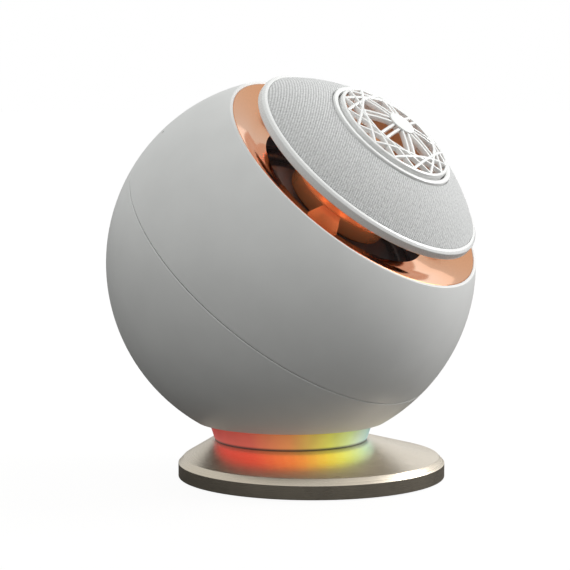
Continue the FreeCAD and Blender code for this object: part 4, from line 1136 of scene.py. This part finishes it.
@dataclass(frozen=True)
class SoundPath:
    """The copper dish, the bridge in its throat, the plug and the column.

    Attributes:
        outer: The dish's outer edge as (radius, height).
        inner: The dish's inner edge.
        elbow: The point where the dish flattens.
        elbow_round: The radius of the round at the elbow.
        wall: The dish's wall.
        hub_radius: The radius of the bridge's hub.
        hub_foot: The height of the hub's lower face.
        hub_top: The height of the hub's upper face.
        web_half: Half the angle of a web, in degrees.
        web_turns: The angles of the webs.
        web_reach: The outer and inner radius of a web.
    """

    outer: tuple[float, float] = (62.6, 48.0)
    inner: tuple[float, float] = (40.5, 40.3)
    elbow: tuple[float, float] = (50.5, 43.4)
    elbow_round: float = 80.0
    wall: float = 1.6
    hub_radius: float = 23.4
    hub_foot: float = 37.9
    hub_top: float = 40.3
    web_half: float = 10.5
    web_turns: tuple[float, ...] = (90.0, 340.0, 200.0)
    web_reach: tuple[float, float] = (41.0, 22.6)

    def bowl(self, drop: float) -> list[Point]:
        """Return the points of the dish's face from its outer to its inner edge, lowered by a drop."""
        corners = [self.outer, (*self.elbow, self.elbow_round), self.inner, (self.inner[0], self.outer[1])]
        return [(radius, height - drop) for radius, height in soften(corners, 16)[:-1]]

    def dish(self) -> None:
        """Build the dish with its throat and its outer skirt."""
        face = self.bowl(0.0)
        lowered = reversed(self.bowl(self.wall)[1:-1])
        under = [(min(radius + self.wall, 60.9), height) for radius, height in lowered]
        lathe("copper_dish", "copper_plate", "sound_dish",
              [(*face[0], 0.25), *face[1:-1], (*face[-1], 0.35), (47.4, 30.0), (49.1, 30.0), *under,
               (61.0, 44.0), (62.6, 44.0)], 256)

    def web(self, turn: float) -> Piece:
        """Return one web as a rounded sector."""
        mesh = bmesh.new()
        half = math.radians(self.web_half)
        loop = [polar(radius, math.radians(turn) + way * half * (2 * step / 8 - 1))
                for radius, way in zip(self.web_reach, (1, -1)) for step in range(9)]
        low, high = ([mesh.verts.new((*spot, height)) for spot in loop]
                     for height in (self.hub_foot, self.hub_top - 0.02))
        mesh.faces.new(low)
        mesh.faces.new(high)
        for index in range(len(loop)):
            after = (index + 1) % len(loop)
            mesh.faces.new((low[index], low[after], high[after], high[index]))
        edges = [edge for edge in mesh.edges if len(edge.link_faces) == 2 and edge.calc_face_angle(0) > 1.0]
        bmesh.ops.bevel(mesh, geom=edges, offset=0.35, segments=3, profile=0.5, affect="EDGES")
        return mesh_piece("web", mesh, HEAD)

    def build(self) -> None:
        """Build every piece of the sound path."""
        self.dish()
        hub = turned("hub", [(8.0, self.hub_foot), (self.hub_radius, self.hub_foot),
                             (self.hub_radius, self.hub_top, 0.2), (8.0, self.hub_top)])
        bridge = joined("throat_hub", [hub, *[self.web(turn) for turn in self.web_turns]])
        seat(bridge, "copper_plate", "throat_bridge", look="copper_inside")
        lathe("plug", "copper_plate", "phase_plug",
              [(0, 30.3), (16.0, 30.3, 1.5), (23.4, 33.5, 1.5), (23.4, 37.9), (22.0, 37.9), (22.0, 34.2),
               (15.3, 31.7), (0, 31.7)], look="copper_inside")
        lathe("column", "copper_plate", "head_column",
              [(5.0, 40.3), (23.4, 40.3, 0.2), (20.5, 43.7, 2.5), (20.5, 50.3, 2.2), (38.0, 53.7, 0.3),
               (38.0, 55.7), (5.0, 55.7)], look="copper_inside")


@dataclass(frozen=True)
class Woofer:
    """The visible parts of the woofer.

    Attributes:
        sectors: The number of pieces that a ring is made in.
        sector_steps: The number of steps round a sector.
        roll_edges: The inner and outer radius of the rubber roll.
        roll_foot: The height of the roll's flat edges.
        roll_arch: The middle radius, the half width and the rise of the roll's arch.
        roll_wall: The thickness of the roll.
        spider_edges: The inner and outer radius of the spider.
        spider_foot: The height of the spider's lower face.
        spider_wall: The thickness of the spider, and the height of its pleats.
        pleats: The number of pleats.
    """

    sectors: int = 12
    sector_steps: int = 6
    roll_edges: tuple[float, float] = (36.0, 46.8)
    roll_foot: float = 24.85
    roll_arch: tuple[float, float, float] = (41.9, 3.3, 2.75)
    roll_wall: float = 0.5
    spider_edges: tuple[float, float] = (13.25, 29.95)
    spider_foot: float = 6.0
    spider_wall: float = 0.35
    pleats: int = 5

    def sector(self, name: str, section: Sequence[Point], first: float, sweep: float) -> Piece:
        """Return one sector of a closed section, from a first angle and over a sweep."""
        mesh = bmesh.new()
        rows = [[mesh.verts.new((*polar(radius, first + sweep * step / self.sector_steps), height))
                 for radius, height in section] for step in range(self.sector_steps + 1)]
        for before, after in zip(rows, rows[1:]):
            for index in range(len(before)):
                following = (index + 1) % len(before)
                mesh.faces.new((before[index], before[following], after[following], after[index]))
        mesh.faces.new(rows[0])
        mesh.faces.new(rows[-1])
        return mesh_piece(name, mesh, HEAD, 60.0)

    def flexing_ring(self, name: str, section: Sequence[Point], look: str, node: str,
                     moving: float, held: float) -> None:
        """Build a ring in sectors with one finish, and hide the node that it stands for.

        Args:
            name: The start of the sectors' names.
            section: The ring's closed section.
            look: The finish and the slot.
            node: The node that the ring stands for.
            moving: An inner radius; the point worked out from it is not used.
            held: An outer radius; the point worked out from it is not used.
        """
        sweep = math.tau / self.sectors
        reach = math.cos(sweep / 2)
        for sector in range(self.sectors):
            piece = self.sector(f"{name}_{sector + 1:02d}", section, sweep * sector, sweep)
            dress(piece, look)
            near, far = (HEAD.at(*polar(radius * reach, sweep * (sector + 0.5)), 0)
                         for radius in (moving, held))
            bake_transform(piece)
            if sector == 0:
                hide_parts(node)
        LOG.info("%s: %d sectors", name, self.sectors)

    def roll_section(self) -> list[Point]:
        """Return the closed section of the rubber roll."""
        across, half, rise = self.roll_arch
        arch = [(across - half * math.cos(angle), self.roll_foot + rise * math.sin(angle))
                for (angle,) in even((0.0,), (math.pi,), 10)]
        inner, outer = self.roll_edges
        top = [(inner, self.roll_foot), (38.0, self.roll_foot), *arch, (outer, self.roll_foot)]
        return top + [(radius, height - self.roll_wall) for radius, height in reversed(top)]

    def spider_section(self) -> list[Point]:
        """Return the closed section of the pleated spider."""
        inner, outer = self.spider_edges
        top = []
        for (share,) in even((0.0,), (1.0,), 40):
            pleat = self.spider_wall * (1 - math.cos(math.tau * self.pleats * share)) / 2
            top.append((inner + (outer - inner) * share, self.spider_foot + self.spider_wall + pleat))
        return top + [(radius, height - self.spider_wall) for radius, height in reversed(top)]

    def build(self) -> None:
        """Build the visible parts of the woofer."""
        lathe("pulp_cone", "cone_paper", "woofer_cone",
              [(12.9, 9.0), (35.5, 24.0, 0.6), (37.4, 24.0), (37.4, 24.8), (35.2, 24.8, 0.6), (12.9, 9.95)],
              body=Body.DIAPHRAGM)
        self.flexing_ring("roll", self.roll_section(), "roll_rubber", "woofer_surround", 37.4, 46.0)
        self.flexing_ring("spider", self.spider_section(), "spider_cloth", "woofer_spider", 14.5, 28.5)


@dataclass(frozen=True)
class Head:
    """The head that floats over the slot.

    Attributes:
        crown_radius: The radius of the cloth's dome.
        crown_centre: The height of the dome's centre.
        edge: The radius of the cloth's edge.
        hole: The radius of the cloth's hole.
        cloth: The thickness of the cloth.
    """

    crown_radius: float = 80.8
    crown_centre: float = -0.627
    edge: float = 53.3
    hole: float = 30.35
    cloth: float = 0.8

    def crown(self, inset: float, first: float, last: float) -> list[Point]:
        """Return points of the dome between two radii, inset below its face."""
        radius = self.crown_radius - inset
        return [(reach, self.crown_centre + math.sqrt(radius ** 2 - reach ** 2))
                for (reach,) in even((first,), (last,), 30)]

    def build(self) -> None:
        """Build the tray, the rim, the ribbed cloth tucked in behind the rim, and the collar."""
        lathe("tray", "copper_plate", "head_tray",
              [(0, 55.7), (30, 55.7), (54.0, 55.7, 0.2), (54.0, 57.9, 0.2), (0, 57.9)], 256)
        lathe("rim", "rim_white", "head_rim",
              [(55.6, 55.7, 0.45), (55.6, 58.8, 0.35), (54.64, 59.7, 0.4), (53.4, 60.1, 0.2), (53.4, 58.0),
               (54.1, 58.0), (54.1, 55.7, 0.2)], 256)
        face = self.crown(0.0, self.hole, self.edge)
        under = self.edge - self.cloth
        lathe("ribbed_cloth", "fabric_grey", "fabric_skin",
              [(*face[0], 0.3), *face[1:-1], (*face[-1], 0.7), (self.edge, 58.05), (under, 58.05),
               *self.crown(self.cloth, under, self.hole)], 256)
        lathe("collar", "grille_white", "collar_ring",
              [(28.0, 57.9), (30.2, 57.9), (30.2, 75.31, 0.55), (28.0, 75.4, 0.55)], 256)


@dataclass(frozen=True)
class Grille:
    """The domed lattice over the tweeter.

    Attributes:
        crown_radius: The radius of the lattice's dome, centred on the ball.
        radius: The outer radius of the lattice.
        rim: The width of the lattice's rim.
        hub: The radius of the hub under the cap.
        star_radius: The radius that the bars' ends reach.
        bar_width: The width of a bar.
        bar_depth: The depth of a bar.
        bar_round: The radius of a bar's corners.
        bars: The number of bars.
        first: The angle of the first bar, in degrees.
        spokes: The number of pairs of spokes.
        spoke_start: How far from the axis a spoke starts.
        spoke_spacing: The distance between a pair's spokes.
    """

    crown_radius: float = 81.6
    radius: float = 27.3
    rim: float = 1.4
    hub: float = 5.6
    star_radius: float = 26.0
    bar_width: float = 1.25
    bar_depth: float = 2.2
    bar_round: float = 0.3
    bars: int = 16
    first: float = 11.25
    spokes: int = 8
    spoke_start: float = 4.5
    spoke_spacing: float = 3.0

    def lines(self, tree: Tree, start: Point, end: Point, count: Socket, steps: int) -> Socket:
        """Return copies of one straight line turned evenly about the axis.

        Args:
            tree: The tree that they are added to.
            start: The level place where the line starts.
            end: The level place where it ends.
            count: The number of copies.
            steps: The number of points along a line.

        Returns:
            The lines.
        """
        line = tree.out("GeometryNodeCurvePrimitiveLine", {"Start": (*start, 0), "End": (*end, 0)})
        fine = tree.out("GeometryNodeResampleCurve", {"Curve": line, "Count": steps})
        points = tree.out("GeometryNodePoints", {"Count": count})
        index = tree.out("GeometryNodeInputIndex")
        turn = tree.math("DIVIDE", tree.math("MULTIPLY", index, math.tau), count)
        spin = tree.upward(tree.math("ADD", turn, math.radians(self.first)))
        copies = tree.copies(points, fine, Rotation=spin)
        return tree.out("GeometryNodeRealizeInstances", {"Geometry": copies})

    def lattice(self) -> Piece:
        """Build the bars and the paired spokes from a geometry tree."""
        tree = Tree("lattice")
        bars = tree.count("Bars", self.bars)
        pairs = tree.count("Spoke pairs", self.spokes)
        width = tree.size("Bar width", self.bar_width)
        depth = tree.size("Bar depth", self.bar_depth)
        crown = tree.size("Crown radius", self.crown_radius)
        offset = self.star_radius / math.sqrt(2)
        half = self.spoke_spacing / 2
        flat = tree.join(self.lines(tree, (offset, -offset), (offset, offset), bars, 22),
                         *[self.lines(tree, (self.spoke_start, side), (offset, side), pairs, 12)
                           for side in (-half, half)])
        apart = tree.vector("LENGTH", tree.out("GeometryNodeInputPosition"))
        square = tree.math("SUBTRACT", tree.math("MULTIPLY", crown, crown),
                           tree.math("MULTIPLY", apart, apart))
        lift = tree.math("SUBTRACT", tree.math("SQRT", square), tree.math("MULTIPLY", depth, 0.5))
        domed = tree.out("GeometryNodeSetPosition", {"Geometry": flat, "Offset": tree.upward(lift)})
        upright = tree.out("GeometryNodeSetCurveNormal", {"Curve": domed}, mode="Z_UP")
        section = tree.out("GeometryNodeCurvePrimitiveQuadrilateral", {"Width": width, "Height": depth})
        rounded = tree.out("GeometryNodeFilletCurve",
                           {"Curve": section, "Radius": self.bar_round, "Count": 3}, mode="POLY")
        solid = tree.out("GeometryNodeCurveToMesh",
                         {"Curve": upright, "Profile Curve": rounded, "Fill Caps": True})
        return tree.piece("lattice", solid, "grille_white", HEAD)

    def build(self) -> None:
        """Build the lattice with its rim, hub and cap."""
        inner = self.radius - self.rim
        rim = turned("lattice_rim", [(inner, 68.0), (self.radius, 68.0), (self.radius, 76.9, 0.6),
                                     (inner, 77.38, 0.35)], HEAD, 256)
        level = math.sqrt(self.crown_radius ** 2 - self.hub ** 2)
        top = sphere_arc(self.crown_radius, level, self.crown_radius, 6)
        hub = turned("hub", [(0, 79.5), (self.hub, 79.3), *top], HEAD, 64)
        seat(joined("lattice_white", [self.lattice(), rim, hub]), "grille_white", "lattice_grille")
        lathe("cap", "grille_white", "centre_cap",
              [(0, 81.65), (6.2, 81.41), (6.2, 82.0, 0.25), (0, 82.45)], 96)


@dataclass(frozen=True)
class Tweeter:
    """The tweeter under the lattice.

    Attributes:
        mouth: The radius of the guide's mouth.
        throat: The radius of the guide's throat.
        dome_radius: The radius of the sphere that the dome follows.
        dome_edge: The radius of the dome's edge.
        dome_foot: The height of the dome's edge.
    """

    mouth: float = 25.8
    throat: float = 12.2
    dome_radius: float = 22.6
    dome_edge: float = 12.0
    dome_foot: float = 64.1

    def build(self) -> None:
        """Build the guide and the dome."""
        lathe("guide", "copper_plate", "tweeter_guide",
              [(27.3, 57.9), (27.3, 68.0), (self.mouth, 68.0), (18.0, 65.3), (self.throat, 64.5, 0.3),
               (self.throat, 62.7), (25.5, 65.5), (25.5, 57.9)])
        level = math.sqrt(self.dome_radius ** 2 - self.dome_edge ** 2)
        dome = sphere_arc(self.dome_radius, level, self.dome_radius, 14)
        lift = self.dome_foot - dome[0][1]
        lathe("silk_dome", "tweeter_silk", "tweeter_dome",
              [(0, 62.6), (self.dome_edge, 62.6), *[(radius, height + lift) for radius, height in dome]])


# ---------------------------------------------------------------- carried nodes

def dress_nodes() -> None:
    """Give every node that still shows the finish of its slot."""
    slots = {item["node"]: item["material_slot"] for item in frame["record"]["subparts"]}
    for name, node in frame["nodes"].items():
        if not node.hide_render:
            dress(node, slots[name])
            LOG.info("%s: dressed as %s", name, slots[name])


# ---------------------------------------------------------------- studio

@dataclass(frozen=True)
class Studio:
    """The floor, the light and the camera.

    Attributes:
        camera_at: The camera's place in metres.
        heading: The horizontal direction it looks in, in degrees from the side axis.
        dip: How far it looks down, in degrees.
        lens: Its focal length in millimetres.
        sky: The brightness of the light from above.
        ground: The brightness of the light from below.
        floor_light: The brightness of the floor as the camera sees it.
        strips: The number of small lights that throw the band's colours on the foot.
        strip_circle: The radius of their circle, in metres.
        strip_height: Their height above the floor, in metres.
        strip_width: Their upright width, in metres.
        strip_dip: How far they shine down, in degrees.
        strip_power: The strength of each.
        fills: The number of small lights inside the slot.
        fill_circle: The radius of their circle, in millimetres.
        fill_power: The strength of each.
    """

    camera_at: tuple[float, float, float] = (-0.8531, -0.4975, 0.18387)
    heading: float = 30.3986
    dip: float = 5.8455
    lens: float = 144.4
    sky: float = 0.78
    ground: float = 0.01
    floor_light: float = 0.93
    strips: int = 48
    strip_circle: float = 0.0366
    strip_height: float = 0.0200
    strip_width: float = 0.0065
    strip_dip: float = 35.0
    strip_power: float = 0.00014
    fills: int = 10
    fill_circle: float = 33.0
    fill_power: float = 0.004

    def aim(self, item: Piece, at: Sequence[float], way: Vector) -> None:
        """Put a camera or a light at a place, looking one way."""
        item.location = at
        item.rotation_mode = "QUATERNION"
        item.rotation_quaternion = way.to_track_quat("-Z", "Y")

    def level_way(self, angle: float, dip: float) -> Vector:
        """Return the direction at a level angle that dips by another."""
        across, along = polar(math.cos(dip), angle)
        return Vector((across, along, -math.sin(dip)))

    def light(self, name: str, kind: str, **values: object) -> Piece:
        """Make a light with its own settings."""
        data = bpy.data.lights.new(name, kind)
        for key, value in values.items():
            setattr(data, key, value)
        return link(name, data)

    def camera(self) -> None:
        """Make the camera."""
        data = bpy.data.cameras.new("camera")
        data.lens = self.lens
        data.clip_start = 0.01
        camera = link("camera", data)
        self.aim(camera, self.camera_at, self.level_way(math.radians(self.heading), math.radians(self.dip)))
        bpy.context.scene.camera = camera

    def world(self) -> None:
        """Make a pale backdrop that lights the speaker from above."""
        world = bpy.data.worlds.new("studio")
        world.use_nodes = True
        made = Nodes(world.node_tree)
        light = made.tree.nodes["Background"]
        facing = made.node("ShaderNodeTexCoord").outputs["Generated"]
        height = made.node("ShaderNodeSeparateXYZ", {0: facing}).outputs["Z"]
        made.feed(light, {"Strength": made.spread(height, self.ground, self.sky, -0.12, 0.12),
                          "Color": (0.985, 1.0, 0.99, 1.0)})
        backdrop = made.out("ShaderNodeBackground", {"Color": (1.0, 1.0, 1.0, 1.0)})
        seen = made.node("ShaderNodeLightPath").outputs["Is Camera Ray"]
        mixed = made.out("ShaderNodeMixShader", {0: seen, 1: light.outputs[0], 2: backdrop})
        made.feed(made.tree.nodes["World Output"], {0: mixed})
        bpy.context.scene.world = world

    def floor(self) -> None:
        """Make the pale floor."""
        mesh = bmesh.new()
        bmesh.ops.create_circle(mesh, cap_ends=True, radius=6.0, segments=96)
        bmesh.ops.translate(mesh, vec=(0, 0, -0.0002), verts=mesh.verts)
        floor = written("floor", mesh)
        recipe = Recipe("floor_pale")
        recipe.surface(Base_Color=(0.035, 0.033, 0.03, 1.0), Roughness=0.9)
        seen = recipe.node("ShaderNodeLightPath").outputs["Is Camera Ray"]
        level = recipe.math("MULTIPLY", seen, self.floor_light)
        glow = recipe.out("ShaderNodeEmission", {"Color": (1.0, 1.0, 1.0, 1.0), "Strength": level})
        total = recipe.out("ShaderNodeAddShader", {0: recipe.shader.outputs[0], 1: glow})
        recipe.feed(recipe.tree.nodes["Material Output"], {0: total})
        floor.data.materials.append(recipe.material)
        floor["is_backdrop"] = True

    def lamp(self, name: str, at: tuple[float, float, float], **values: object) -> None:
        """Make a square soft light that shines at the ball."""
        self.aim(self.light(name, "AREA", **values), at, HEAD.origin - Vector(at))

    def glow(self) -> None:
        """Throw the colours of the light band down on the foot."""
        for index in range(self.strips):
            turn = index / self.strips
            angle = math.tau * (turn - 0.5)
            strip = self.light("glow", "AREA", shape="RECTANGLE", size_y=self.strip_width,
                               size=math.tau * self.strip_circle / self.strips, energy=self.strip_power,
                               color=[part ** 1.4 for part in band_colour((turn - 0.02) % 1.0)])
            strip.visible_camera = False
            self.aim(strip, (*polar(self.strip_circle, angle), self.strip_height),
                     self.level_way(angle, math.radians(self.strip_dip)))

    def fill(self) -> None:
        """Light the inside of the slot softly."""
        for index in range(self.fills):
            lamp = self.light("fill", "POINT", energy=self.fill_power, shadow_soft_size=0.003,
                              color=(1.0, 0.95, 0.9))
            lamp.visible_camera = False
            lamp.visible_glossy = False
            lamp.location = HEAD.at(*polar(self.fill_circle, math.tau * index / self.fills), 49)

    def build(self) -> None:
        """Build the studio."""
        self.camera()
        self.world()
        self.floor()
        self.lamp("side_light", (0.86, -0.91, 0.69), size=0.7, energy=14.0)
        self.lamp("rim_light", (1.40, 0.54, 0.56), size=0.6, energy=0.45, diffuse_factor=0.0)
        self.glow()
        self.fill()
        bpy.context.scene.cycles.glossy_bounces = 10
        bpy.context.scene.view_settings.view_transform = "Standard"


def corners() -> list[list[float]]:
    """Return the shown object's box as plain lists."""
    return [list(corner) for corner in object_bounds()]


def main() -> None:
    """Build the speaker piece by piece."""
    logging.basicConfig(level=logging.INFO, format="%(message)s")
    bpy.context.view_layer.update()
    Foot().build()
    Neck().build()
    Ball().build()
    Key("button_volume_down", Body.VOLUME_DOWN, -13.0, Sign.MINUS).build()
    Key("button_mute", Body.MUTE, 0.0, Sign.DOT).build()
    Key("button_volume_up", Body.VOLUME_UP, 13.0, Sign.PLUS).build()
    SoundPath().build()
    Woofer().build()
    Head().build()
    Grille().build()
    Tweeter().build()
    dress_nodes()
    Studio().build()


if __name__ == "__main__":
    main()
